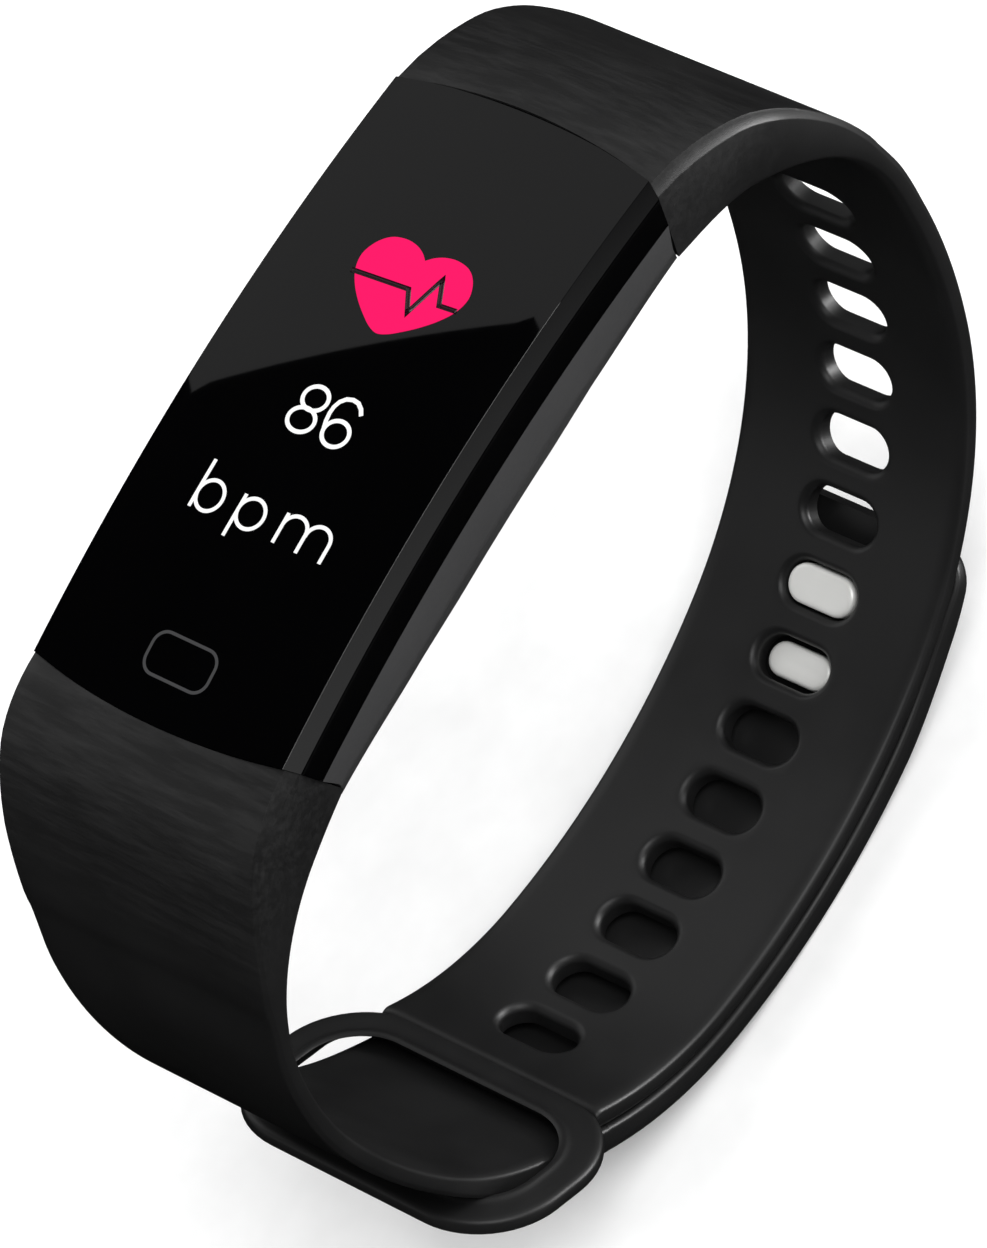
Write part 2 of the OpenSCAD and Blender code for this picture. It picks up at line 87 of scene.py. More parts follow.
POD_NX, POD_NY = 56, 24     # steps along and across the pod
CORNER_X, END_X = 20.5, 20.9    # where the arch's height is taken for the pod's corners and its ends
CASE_FLOOR = -7.4
SEAM = 0.03
STRAP_T, LOWER_T, TAIL_T, TAIL_GAP, STRAP_W = 1.49, 1.29, 1.9, 0.25, 18.2
HOLE_COUNT, HOLE_PITCH, HOLE_L, HOLE_W = 14, 5.0, 5.7, 3.0
FIRST_PEG_HOLE, PEG_CLEARANCE = 7, 0.22
RING_W, RING_L, RING_T, RING_R, RING_ANGLE = 24.78, 13.49, 1.4, 6.0, 148.0
RING_OPEN, OPEN_W, OPEN_R = (1.4, 11.4), 20.8, 2.6
SOCKET_END, SOCKET_W, SOCKET_TOP, SOCKET_FOOT = 25.0, 14.0, -2.4, -6.0

UPPER_IN_START = (21.1, -6.3, -27.3)
UPPER_IN = [(24.9, -26.7), (16.1, -37.1), (39.3, -21.3), (28.6, -50.1), (44.3, -31.2), (21.7, -32.9)]
UPPER_OUT_START = (21.0, -0.2, -13.0)
UPPER_OUT = [(13.6, -34.4), (17.9, -16.1), (34.7, -40.6)]
LOWER_IN_START = (-19.4, -5.9, 194.5)
LOWER_IN = [(33.9, 7.4), (16.0, 52.3), (29.2, 21.9), (45.0, 19.9)]
LOWER_OUT_START = (-20.8, -0.2, 180.2)
LOWER_OUT = [(8.3, 46.4), (18.2, 11.3), (41.8, 33.0)]

ARCH_R = ((POD_L / 2) ** 2 + ARCH_H ** 2) / (2 * ARCH_H)
GLASS_HALF = POD_W / 2 - BEVEL_OUT


# ---- paths in the XZ plane

def turned(p, radius, turn):
    """[x, z, heading] after turning by an angle in degrees on an arc from p."""
    side = 1 if turn > 0 else -1
    a, b = math.radians(p[2]), math.radians(p[2] + turn)
    return (p[0] + side * radius * (math.sin(b) - math.sin(a)),
            p[1] - side * radius * (math.cos(b) - math.cos(a)), p[2] + turn)


def arc_length(arc):
    return arc[0] * math.radians(abs(arc[1]))


def chain_length(arcs):
    return sum(arc_length(a) for a in arcs)


def along(start, arcs, s):
    """[x, z, heading] at distance s along a chain of arcs; it carries on past either end."""
    p = start
    for i, arc in enumerate(arcs):
        if i == len(arcs) - 1 or s <= arc_length(arc):
            side = 1 if arc[1] > 0 else -1
            return turned(p, arc[0], side * math.degrees(s / arc[0]))
        p = turned(p, *arc)
        s -= arc_length(arc)


def left_of(p, d):
    """Point at a distance to the left of [x, z, heading]."""
    h = math.radians(p[2])
    return np.array([p[0] - d * math.sin(h), p[1] + d * math.cos(h)])


def unit(v):
    return v / np.linalg.norm(v)


def direction(degrees):
    a = math.radians(degrees)
    return np.array([math.cos(a), math.sin(a)])


UPPER_L = chain_length(UPPER_IN)
FIRST_HOLE = UPPER_L - 4.9 - (HOLE_COUNT - 1) * HOLE_PITCH
TIP_S = FIRST_HOLE + (FIRST_PEG_HOLE - 1) * HOLE_PITCH - 5.0
FLEX_S = FIRST_HOLE + (FIRST_PEG_HOLE + 2.6) * HOLE_PITCH
FLEX_L = 3.6


def smooth(t):
    t = min(max(t, 0.0), 1.0)
    return t * t * (3 - 2 * t)


def steps(a, b, step):
    n = max(1, math.ceil(abs(b - a) / step - 1e-9))
    return [a + (b - a) * i / n for i in range(n + 1)]


def half_width(z):
    """Half the strap's width at a height z in the glass frame."""
    return POD_W / 2 + (STRAP_W / 2 - POD_W / 2) * min(max((-7 - z) / 20, 0), 1)


# ---- mesh making

class Weld:
    """Collects faces by their corners' places and welds equal corners."""

    def __init__(self):
        self.ids, self.verts, self.faces = {}, [], []

    def vert(self, p):
        key = (round(p[0], 4), round(p[1], 4), round(p[2], 4))
        if key not in self.ids:
            self.ids[key] = len(self.verts)
            self.verts.append(key)
        return self.ids[key]

    def face(self, *points):
        ids = []
        for p in points:
            i = self.vert(p)
            if i not in ids:
                ids.append(i)
        if len(ids) > 2:
            self.faces.append(ids)

    def strip(self, a, b, closed=False):
        """Quads between two rows of equal length."""
        n = len(a)
        for i in range(n if closed else n - 1):
            j = (i + 1) % n
            self.face(a[i], a[j], b[j], b[i])

    def fan(self, loop):
        centre = np.mean(np.array(loop), axis=0)
        for i in range(len(loop)):
            self.face(loop[i], loop[(i + 1) % len(loop)], centre)

    def piece(self, name, material, body, slot, angle=180):
        mesh = bpy.data.meshes.new(name)
        mesh.from_pydata([tuple(c * MM for c in v) for v in self.verts], [], self.faces)
        bm = bmesh.new()
        bm.from_mesh(mesh)
        bmesh.ops.recalc_face_normals(bm, faces=bm.faces)
        bm.to_mesh(mesh)
        bm.free()
        mesh.polygons.foreach_set("use_smooth", [True] * len(mesh.polygons))
        if angle < 180:
            mesh.set_sharp_from_angle(angle=math.radians(angle))
        mesh.materials.append(material)
        obj = bpy.data.objects.new(name, mesh)
        bpy.context.collection.objects.link(obj)
        if body:
            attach(obj, body)
        return obj


def row(x, y, z):
    """A point in the row frame from glass-frame coordinates."""
    return (x, y, z + POD_H)


# ---- materials

def new_material(name):
    m = bpy.data.materials.new(name)
    m.use_nodes = True
    nodes = m.node_tree.nodes
    return m, nodes, m.node_tree.links, nodes["Principled BSDF"]


def add(nodes, kind, **inputs):
    n = nodes.new(kind)
    for key, value in inputs.items():
        n.inputs[key.replace("_", " ")].default_value = value
    return n


def ramp(nodes, links, source, a, b, low=0.0, high=1.0):
    """A number that runs from low to high as source runs from a to b."""
    n = nodes.new("ShaderNodeMapRange")
    n.inputs["From Min"].default_value, n.inputs["From Max"].default_value = a, b
    n.inputs["To Min"].default_value, n.inputs["To Max"].default_value = low, high
    links.new(source, n.inputs["Value"])
    return n.outputs["Result"]


def scaled_coords(nodes, links, scale=(1, 1, 1)):
    coords = nodes.new("ShaderNodeTexCoord")
    mapping = nodes.new("ShaderNodeMapping")
    mapping.inputs["Scale"].default_value = scale
    links.new(coords.outputs["Object"], mapping.inputs["Vector"])
    return mapping.outputs["Vector"]


def noise(nodes, links, vector, scale, detail=4.0, rough=0.55):
    n = add(nodes, "ShaderNodeTexNoise", Scale=scale, Detail=detail, Roughness=rough)
    links.new(vector, n.inputs["Vector"])
    return n.outputs["Fac"]


def bumps(nodes, links, shader, layers):
    """Chains bump layers, each (height, strength, distance in metres), into a shader's normal."""
    normal = None
    for height, strength, distance in layers:
        b = add(nodes, "ShaderNodeBump", Strength=strength, Distance=distance)
        links.new(height, b.inputs["Height"])
        if normal:
            links.new(normal, b.inputs["Normal"])
        normal = b.outputs["Normal"]
    links.new(normal, shader.inputs["Normal"])


def mix_colour(nodes, links, fac, a, b):
    n = nodes.new("ShaderNodeMix")
    n.data_type = "RGBA"
    n.inputs["A"].default_value, n.inputs["B"].default_value = (*a, 1), (*b, 1)
    links.new(fac, n.inputs["Factor"])
    return n.outputs["Result"]


def silicone_material():
    """Matt black rubber: a fine grain all over, and faint streaks across the strap near the pod, lightened
    there as a painted highlight from above.
    """
    m, nodes, links, shader = new_material("silicone_black")
    vector = scaled_coords(nodes, links)
    cloud = noise(nodes, links, vector, 120, 3)
    grain = noise(nodes, links, vector, 5200, 3, 0.6)
    brushed = noise(nodes, links, scaled_coords(nodes, links, (1, 0.12, 1)), 1500, 4, 0.7)
    position = nodes.new("ShaderNodeSeparateXYZ")
    links.new(nodes.new("ShaderNodeTexCoord").outputs["Object"], position.inputs[0])
    near_pod = ramp(nodes, links, position.outputs["Z"], -0.004, 0.006)
    # Streaks lightened only high up near the pod: the grain is real, its lighter colour there is a painted
    # highlight from above.
    grain_sheen_mask = nodes.new("ShaderNodeMath")
    grain_sheen_mask.operation = "MULTIPLY"
    links.new(near_pod, grain_sheen_mask.inputs[0])
    links.new(ramp(nodes, links, brushed, 0.42, 0.75), grain_sheen_mask.inputs[1])
    tone = mix_colour(nodes, links, cloud, (0.0062, 0.0062, 0.0064), (0.0092, 0.0092, 0.0094))
    # Lighter streak colour: a painted highlight on the real grain near the pod.
    grain_sheen_mix = nodes.new("ShaderNodeMix")
    grain_sheen_mix.data_type = "RGBA"
    grain_sheen_mix.inputs["B"].default_value = (0.0170, 0.0170, 0.0172, 1)
    links.new(grain_sheen_mask.outputs[0], grain_sheen_mix.inputs["Factor"])
    links.new(tone, grain_sheen_mix.inputs["A"])
    links.new(grain_sheen_mix.outputs["Result"], shader.inputs["Base Color"])
    links.new(ramp(nodes, links, cloud, 0.3, 0.7, 0.40, 0.50), shader.inputs["Roughness"])
    shader.inputs["Specular IOR Level"].default_value = 0.42
    bumps(nodes, links, shader, [(grain, 0.25, 0.00002), (brushed, 0.12, 0.00003)])
    return m


def gloss_material(name, colour, roughness, ripple=0.02):
    """Smooth dark plastic or glass with a faint unevenness."""
    m, nodes, links, shader = new_material(name)
    vector = scaled_coords(nodes, links)
    cloud = noise(nodes, links, vector, 60, 2)
    fine = noise(nodes, links, vector, 900, 3)
    lighter = tuple(c * 1.25 + 0.0005 for c in colour)
    links.new(mix_colour(nodes, links, cloud, colour, lighter), shader.inputs["Base Color"])
    links.new(ramp(nodes, links, fine, 0.3, 0.7, roughness, roughness * 1.3),
              shader.inputs["Roughness"])
    bumps(nodes, links, shader, [(cloud, ripple, 0.00002)])
    return m


def moulded_material(name, colour, roughness, grain_size=3200, depth=0.00002):
    """Moulded plastic, board or foil with a fine grain."""
    m, nodes, links, shader = new_material(name)
    vector = scaled_coords(nodes, links)
    cloud = noise(nodes, links, vector, 140, 3)
    grain = noise(nodes, links, vector, grain_size, 3, 0.6)
    low = tuple(c * 0.88 for c in colour)
    high = tuple(min(1.0, c * 1.12) for c in colour)
    links.new(mix_colour(nodes, links, cloud, low, high), shader.inputs["Base Color"])
    links.new(ramp(nodes, links, grain, 0.3, 0.7, roughness * 0.9, min(1.0, roughness * 1.15)),
              shader.inputs["Roughness"])
    bumps(nodes, links, shader, [(grain, 0.3, depth)])
    return m


def brushed_material(name, colour, roughness, metallic=1.0):
    """Metal with fine lines across the band."""
    m, nodes, links, shader = new_material(name)
    lines = noise(nodes, links, scaled_coords(nodes, links, (1, 0.06, 1)), 5200, 3, 0.6)
    cloud = noise(nodes, links, scaled_coords(nodes, links), 300, 2)
    links.new(mix_colour(nodes, links, cloud, tuple(c * 0.92 for c in colour), colour),
              shader.inputs["Base Color"])
    links.new(ramp(nodes, links, lines, 0.3, 0.7, roughness * 0.8, roughness * 1.3),
              shader.inputs["Roughness"])
    shader.inputs["Metallic"].default_value = metallic
    bumps(nodes, links, shader, [(lines, 0.12, 0.00001)])
    return m


def glow_material(name, colour, strength):
    """A lit shape of the display: a fine dot grid keeps it from being one flat colour."""
    m, nodes, links, shader = new_material(name)
    dots = noise(nodes, links, scaled_coords(nodes, links), 9000, 1)
    links.new(mix_colour(nodes, links, dots, tuple(c * 0.96 for c in colour), colour),
              shader.inputs["Emission Color"])
    shader.inputs["Base Color"].default_value = (*[c * 0.05 for c in colour], 1)
    shader.inputs["Emission Strength"].default_value = strength
    shader.inputs["Specular IOR Level"].default_value = 0.0
    return m


SILICONE = silicone_material()
GLASS = gloss_material("glass_black", (0.0004, 0.0004, 0.0005), 0.02, ripple=0.0)
FRAME = gloss_material("frame_gloss_black", (0.0006, 0.0006, 0.0007), 0.12)
CASE = moulded_material("case_dark_grey", (0.036, 0.036, 0.037), 0.42, 2600)
PEG = brushed_material("peg_satin_steel", (0.74, 0.74, 0.72), 0.40, 0.35)
WINDOW = gloss_material("sensor_window_dark", (0.004, 0.004, 0.006), 0.05)
PINK = glow_material("readout_pink", (1.0, 0.012, 0.14), 1.0)
TRACE = moulded_material("readout_trace_dark", (0.012, 0.001, 0.004), 0.3)
WHITE = glow_material("readout_white", (1.0, 1.0, 1.0), 1.0)
OUTLINE = glow_material("readout_key_grey", (0.06, 0.06, 0.062), 1.0)


# ---- pod

def edge_z(x):
    """Height of the glass's arched edge, in the glass frame."""
    return ARCH_H - ARCH_R + math.sqrt(ARCH_R ** 2 - x * x)


def end_x(y, z, margin=0.0):
    """How far the pod's bowed end reaches along X at y, at height z in the glass frame."""
    radius = END_R - END_DRAFT * min(max(-z / DRAFT_H, 0), 1) + margin
    return POD_L / 2 + END_BOW - END_R + math.sqrt(radius ** 2 - y * y)


def foot_rise(x, drop):
    """How far the case's lower side rises towards the pod's ends, where it meets the straps."""
    share = smooth((drop - FRAME_DROP) / (SIDE_DROP - FRAME_DROP))
    return share * FOOT_RISE[0 if x < 0 else 1] * smooth((abs(x) - FOOT_RISE_FROM) / FOOT_RISE_OVER)


def pod_loop(half, drop):
    """Closed loop round the pod, at half its width there and at a drop below the glass's edge."""
    loop = []
    for side in (1, -1):
        reach = end_x(half, edge_z(CORNER_X) - drop)
        for i in range(POD_NX):
            x = side * reach * (1 - 2 * i / POD_NX)
            loop.append((x, side * half, max(edge_z(x) - drop + foot_rise(x, drop), CASE_FLOOR)))
        for i in range(POD_NY):
            y = side * half * (1 - 2 * i / POD_NY)
            x = -side * end_x(y, edge_z(END_X) - drop)
            loop.append((x, y, max(edge_z(min(abs(x), 24)) - drop + foot_rise(x, drop), CASE_FLOOR)))
    return [row(*p) for p in loop]


def glass_top(x, y):
    """Height of the crowned glass in the glass frame."""
    return edge_z(x) + CROWN_H * (1 - (y / GLASS_HALF) ** 2)


def grid_cap(weld, half, drop, height):
    """Grid that fills the pod loop at half and drop; height gives z at x, y in the glass frame."""
    def point(i, j):
        y = half * (1 - 2 * j / POD_NY)
        if j in (0, POD_NY):
            reach = end_x(half, edge_z(CORNER_X) - drop)
        else:
            reach = end_x(y, edge_z(END_X) - drop)
        x = reach * (1 - 2 * i / POD_NX)
        return row(x, y, height(x, y))
    for i in range(POD_NX):
        for j in range(POD_NY):
            weld.face(point(i, j), point(i + 1, j), point(i + 1, j + 1), point(i, j + 1))


def pod_shell(levels, top_height, foot_height):
    """Closed shell from levels of (half width, drop), with gridded caps at both ends."""
    weld = Weld()
    loops = [pod_loop(*level) for level in levels]
    for a, b in zip(loops, loops[1:]):
        weld.strip(a, b, closed=True)
    grid_cap(weld, *levels[0], top_height)
    grid_cap(weld, *levels[-1], foot_height)
    return weld


def rounded(corner, before, after, r, n=3):
    """Points of a small round at a corner between two neighbours, all 2-D."""
    c, a, b = (np.array(v, float) for v in (corner, before, after))
    p, q = c + unit(a - c) * r, c + unit(b - c) * r
    return [tuple((1 - t) ** 2 * p + 2 * t * (1 - t) * c + t * t * q) for t in [i / n for i in range(n + 1)]]


def make_lens():
    half = POD_W / 2
    profile = [(GLASS_HALF - 0.12, 0.0)]
    profile += rounded((GLASS_HALF, 0.0), (GLASS_HALF - 1, 0), (half, BEVEL_DROP), 0.03)[1:]
    profile += rounded((half, BEVEL_DROP), (GLASS_HALF, 0), (half, BEVEL_DROP + 1), 0.06)
    profile += [(half - 0.02, BEVEL_DROP + 0.05), (half - 0.1, BEVEL_DROP + 0.06)]
    weld = pod_shell(profile, lambda x, y: glass_top(x, y) if abs(y) < GLASS_HALF - 0.13 else edge_z(x),
                     lambda x, y: edge_z(x) - BEVEL_DROP - 0.06)
    lens = weld.piece("pod_glass", GLASS, "band", "cover_glass", angle=24)
    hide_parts("front_lens")


def make_mid_frame():
    half = POD_W / 2
    top, foot = BEVEL_DROP + 0.16, FRAME_DROP - 0.02
    profile = [(half - 0.35, top)] + rounded((half, top), (half - 1, top), (half, top + 1), 0.1)
    profile += rounded((half, foot), (half, 1), (half - 1, foot), 0.05)
    profile += [(half - 0.3, foot)]
    weld = pod_shell(profile, lambda x, y: edge_z(x) - top, lambda x, y: edge_z(x) - foot)
    part = weld.piece("pod_mid_frame", FRAME, "band", "frame_plastic", angle=30)
    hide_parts("mid_frame")


def arc_points(cx, cy, rx, ry, a, b, n=20):
    return [(cx + rx * math.cos(math.radians(a + (b - a) * i / n)),
             cy + ry * math.sin(math.radians(a + (b - a) * i / n))) for i in range(n + 1)]


def corner_arcs(cx, cy, hx, hy, r, n):
    """The four corners of a rounded rectangle with its half sizes, one list of points each."""
    signs = ((1, -1), (1, 1), (-1, 1), (-1, -1))
    return [arc_points(cx + sx * (hx - r), cy + sy * (hy - r), r, r, -90 + 90 * k, 90 * k, n)
            for k, (sx, sy) in enumerate(signs)]


def rounded_box(weld, lo, hi, r, n=4):
    """Box with all its upright edges and its rims rounded, from glass-frame corners."""
    cx, cy = (lo[0] + hi[0]) / 2, (lo[1] + hi[1]) / 2
    def outline(inset):
        hx, hy = (hi[0] - lo[0]) / 2 - inset, (hi[1] - lo[1]) / 2 - inset
        return sum(corner_arcs(cx, cy, hx, hy, max(r - inset, 0.02), n), [])
    rim = 0.12
    levels = [(rim, hi[2]), (rim * 0.3, hi[2] - rim * 0.3), (0, hi[2] - rim),
              (0, lo[2] + rim), (rim * 0.3, lo[2] + rim * 0.3), (rim, lo[2])]
    loops = [[row(x, y, z) for x, y in outline(i)] for i, z in levels]
    for a, b in zip(loops, loops[1:]):
        weld.strip(a, b, closed=True)
    weld.fan(loops[0])
    weld.fan(loops[-1])


def make_case():
    half = POD_W / 2
    foot = half - SIDE_INSET
    profile = [(half - 0.4, FRAME_DROP)]
    profile += rounded((half - 0.03, FRAME_DROP), (half - 1, FRAME_DROP), (foot, SIDE_DROP), 0.08)
    profile += rounded((foot, SIDE_DROP), (half, FRAME_DROP), (half - 1.6, 9.4), 0.35, 4)
    profile += [(half - 1.0, 8.1), (half - 1.4, 8.9), (half - 1.6, 9.35)]
    weld = pod_shell(profile, lambda x, y: edge_z(x) - FRAME_DROP, lambda x, y: CASE_FLOOR)
    case = weld.piece("pod_rear_case", CASE, "band", "case_plastic", angle=30)
    tongues = Weld()
    for side in (-1, 1):
        a, b = sorted((side * 19.0, side * (POD_L / 2 + 3.6)))
        rounded_box(tongues, (a, -5.5, -5.1), (b, 5.5, -3.4), 0.8)
    tongues.piece("pod_tongues", CASE, "band", "case_plastic", angle=40)
    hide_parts("rear_case")


def make_window():
    weld = Weld()
    rounded_box(weld, (-6.25, -5.0, -POD_H), (6.25, 5.0, CASE_FLOOR + 0.05), 2.5, 10)
    window = weld.piece("pod_sensor_window", WINDOW, "band", "sensor_plastic", angle=40)
    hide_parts("sensor_window")


# ---- display readout

def glass_normal(x, y):
    e = 0.01
    return np.array([(glass_top(x - e, y) - glass_top(x + e, y)) / (2 * e),
                     (glass_top(x, y - e) - glass_top(x, y + e)) / (2 * e), 1.0])


def on_glass(x, y, lift):
    n = glass_normal(x, y)
    return row(*(np.array([x, y, glass_top(x, y)]) + unit(n) * lift))


def resample(points, step=0.22):
    out = [points[0]]
    for a, b in zip(points, points[1:]):
        n = max(1, math.ceil(math.dist(a, b) / step))
        out += [(a[0] + (b[0] - a[0]) * i / n, a[1] + (b[1] - a[1]) * i / n) for i in range(1, n + 1)]
    return out


def ribbon(weld, points, width, lift=0.014, thick=0.012, closed=False):
    """Flat stroke along 2-D points on the glass."""
    pts = [np.array(p) for p in resample(points + points[:1] if closed else points)]
    if closed:
        pts = pts[:-1]
    n = len(pts)
    sides = []
    for i, p in enumerate(pts):
        a = pts[(i - 1) % n] if closed or i else p
        b = pts[(i + 1) % n] if closed or i < n - 1 else p
        d1, d2 = p - a, b - p
        d1 = unit(d1) if np.linalg.norm(d1) > 1e-9 else unit(d2)
        d2 = unit(d2) if np.linalg.norm(d2) > 1e-9 else d1
        t = unit(d1 + d2)
        miter = min(1 / max(abs(float(t @ d1)), 0.35), 2.2)
        off = np.array([-t[1], t[0]]) * width / 2 * miter
        sides.append((p + off, p - off))
    top = lift + thick
    quads = [(on_glass(*l, top), on_glass(*r, top), on_glass(*r, lift), on_glass(*l, lift))
             for l, r in sides]
    for i in range(n if closed else n - 1):
        a, b = quads[i], quads[(i + 1) % n]
        for k in range(4):
            weld.face(a[k], a[(k + 1) % 4], b[(k + 1) % 4], b[k])
    if not closed:
        weld.face(*quads[0])
        weld.face(*reversed(quads[-1]))


HEART_MIDDLE = 0.31
HEART_SIDE = [(0.0, 10.45), (0.5, 10.85), (1.2, 11.15), (2.1, 11.25), (3.1, 11.02), (3.85, 10.35),
              (4.25, 9.35), (4.02, 8.3), (3.35, 7.35), (2.45, 6.5), (1.5, 5.8), (0.7, 5.32), (0.0, 5.12)]
FIGURE_STROKE, LETTER_STROKE, TRACE_STROKE, KEY_STROKE = 0.28, 0.25, 0.34, 0.2


def heart_outline(steps_each=6):
    """Heart in the display's own reading frame, a smooth line through one side's points and their mirror."""
    points = HEART_SIDE + [(-u, v) for u, v in reversed(HEART_SIDE[1:-1])]
    n, out = len(points), []
    for i in range(n):
        a, b, c, d = (np.array(points[(i + k) % n]) for k in (-1, 0, 1, 2))
        if i == 0:
            a = 2 * b - c
        if i == n - 1:
            d = 2 * c - b
        for k in range(steps_each):
            t = k / steps_each
            p = 0.5 * (2 * b + (c - a) * t + (2 * a - 5 * b + 4 * c - d) * t * t
                       + (3 * b - a - 3 * c + d) * t ** 3)
            out.append((HEART_MIDDLE + p[0], p[1]))
    return out


def reading(points):
    """Display coordinates (right, up) to the pod's x, y: up is +X and right is -Y."""
    return [(v, -u) for u, v in points]


def flat_shape(weld, outline, lift, thick):
    """Filled star-shaped outline on the glass, in rings from its middle."""
    pts = [np.array(p) for p in outline]
    centre = sum(pts) / len(pts)
    rings = 8
    def at(k, i, z):
        return on_glass(*(centre + (pts[i % len(pts)] - centre) * k / rings), z)
    top = lift + thick
    for k in range(rings):
        for i in range(len(pts)):
            for z in (top, lift):
                weld.face(at(k, i, z), at(k, i + 1, z), at(k + 1, i + 1, z), at(k + 1, i, z))
    for i in range(len(pts)):
        weld.face(at(rings, i, top), at(rings, i + 1, top), at(rings, i + 1, lift), at(rings, i, lift))


def loop_at(u, v, ru, rv, n=40):
    return reading(arc_points(u, v, ru, rv, 0, 360, n)[:-1])


def make_readout():
    """A lit heart with a pulse trace, a number, its unit and the outline of the touch key."""
    heart = Weld()
    flat_shape(heart, reading(heart_outline()), 0.01, 0.012)
    heart.piece("readout_heart", PINK, "band", "display_glass")
    trace = Weld()
    ribbon(trace, reading([(-3.95, 8.15), (0.5, 8.42), (1.38, 7.05), (2.2, 9.8), (3.05, 8.22), (4.35, 8.32)]),
           TRACE_STROKE, lift=0.024)
    trace.piece("readout_heart_trace", TRACE, "band", "display_glass")
    text = Weld()
    w = FIGURE_STROKE
    # 8: two loops, one above the other
    ribbon(text, loop_at(-0.84, -0.05, 0.92, 0.79), w, closed=True)
    ribbon(text, loop_at(-0.94, -1.57, 0.99, 0.79), w, closed=True)
    # 6: a bowl with a stem that curves up from its left side
    ribbon(text, loop_at(1.78, -1.52, 0.94, 0.84), w, closed=True)
    ribbon(text, reading([(0.84, -1.55), (0.68, -1.05), (0.6, -0.5), (0.63, -0.05), (0.8, 0.36),
                          (1.13, 0.67), (1.58, 0.8), (2.03, 0.74), (2.42, 0.47), (2.68, 0.1)]), w)
    # b, p, m
    w = LETTER_STROKE
    ribbon(text, reading([(-4.86, -5.85), (-4.88, -9.08)]), w)
    ribbon(text, loop_at(-3.87, -8.0, 0.98, 1.0), w, closed=True)
    ribbon(text, reading([(-1.55, -7.0), (-1.57, -9.86)]), w)
    ribbon(text, loop_at(-0.56, -8.0, 1.0, 0.98), w, closed=True)
    ribbon(text, reading([(1.85, -7.0), (1.85, -9.02)]), w)
    for u in (1.85, 3.7):
        arch = arc_points(u + 0.91, -7.8, 0.91, 0.86, 176, 0, 18)
        ribbon(text, reading([(u, -7.9)] + arch + [(u + 1.82, -9.02)]), w)
    text.piece("readout_text", WHITE, "band", "display_glass")
    key = Weld()
    ribbon(key, sum(corner_arcs(-17.7, -0.15, 1.36, 2.5, 0.95, 8), []), KEY_STROKE, closed=True)
    key.piece("readout_key_outline", OUTLINE, "band", "display_glass")


# ---- straps

FACE_MID = 4.2
MID_STEPS, RIM_STEPS = 16, 6


def face_row(w):
    """Places across a strap's face of half width w: even strips at the rims, even steps in the middle."""
    rim = [w - (w - FACE_MID) * i / RIM_STEPS for i in range(RIM_STEPS)]
    mid = [FACE_MID * (1 - 2 * i / MID_STEPS) for i in range(MID_STEPS + 1)]
    return [-v for v in rim] + [-v for v in mid] + list(reversed(rim))


class Station:
    """A cross-section of a strap between a skin-side point and an outer point.

    cy and cd are the outer chamfer's inset and depth, ry and rd those of the skin side's round.
    bow bends the section along the pod's end, crown lifts its outer face, dish hollows its skin side.
    """

    def __init__(self, inner, outer, w_in, w_out, cy, cd, ry, rd, bow=0, crown=0, dish=0, end_face=(0, 0)):
        self.end_face = end_face
        self.inner, self.outer = np.array(inner, float), np.array(outer, float)
        self.thick = float(np.linalg.norm(self.outer - self.inner))
        self.w_in, self.w_out = w_in, w_out
        self.cy, self.cd, self.ry, self.rd = cy, cd, ry, rd
        self.bow, self.crown, self.dish = bow, crown, dish

    def half(self, d):
        return self.w_in + (self.w_out - self.w_in) * d / self.thick

    def point(self, y, d):
        """Point at y across the strap and a depth d out of its skin side, in the row frame."""
        x, z = self.inner + (self.outer - self.inner) * (d / self.thick)
        outwards = d / self.thick
        z += self.crown * outwards * max(0, 1 - (y / 10.0) ** 2)
        if self.dish:
            n = (self.outer - self.inner) / self.thick
            k = self.dish * max(0, 1 - (y / self.w_in) ** 2) ** 2 * (1 - outwards)
            x, z = x + n[0] * k, z + n[1] * k
        if self.bow:
            side = 1 if x > 0 else -1
            start = self.end_face[0] + (self.end_face[1] - self.end_face[0]) * outwards
            x += side * self.bow * (end_x(y, z, SEAM) - start)
        return row(x, y, z)

    def edge(self):
        """(inset from the side, depth) down one edge, from the outer face's end to the skin face's end."""
        t, cy, cd, ry, rd = self.thick, self.cy, self.cd, self.ry, self.rd
        pts = [(cy, t), (cy - 0.05, t - 0.01), (cy - 0.12, t - 0.1 * cd / 0.4)]
        pts += [(0.1, t - cd + 0.08), (0.03, t - cd), (0, t - cd - 0.1)]
        pts += [(0, (t - cd + rd) / 2 + 0.02), (0, rd + 0.05)]
        for a in (20, 40, 60, 78):
            a = math.radians(a)
            pts.append((ry * (1 - math.cos(a)), rd * (1 - math.sin(a))))
        return pts + [(ry, 0)]

    def rows(self):
        """(outer face, right edge, skin face, left edge) as lists of points that share their ends."""
        outer = [self.point(y, self.thick) for y in face_row(self.w_out - self.cy)]
        skin = [self.point(y, 0.0) for y in face_row(self.w_in - self.ry)]
        right = [self.point(self.half(d) - i, d) for i, d in self.edge()]
        left = [self.point(i - self.half(d), d) for i, d in self.edge()]
        return outer, right, skin, left

    def loop(self):
        outer, right, skin, left = self.rows()
        return outer + right[1:-1] + list(reversed(skin)) + list(reversed(left))[1:-1]


def loft(weld, stations):
    loops = [s.loop() for s in stations]
    for a, b in zip(loops, loops[1:]):
        weld.strip(a, b, closed=True)


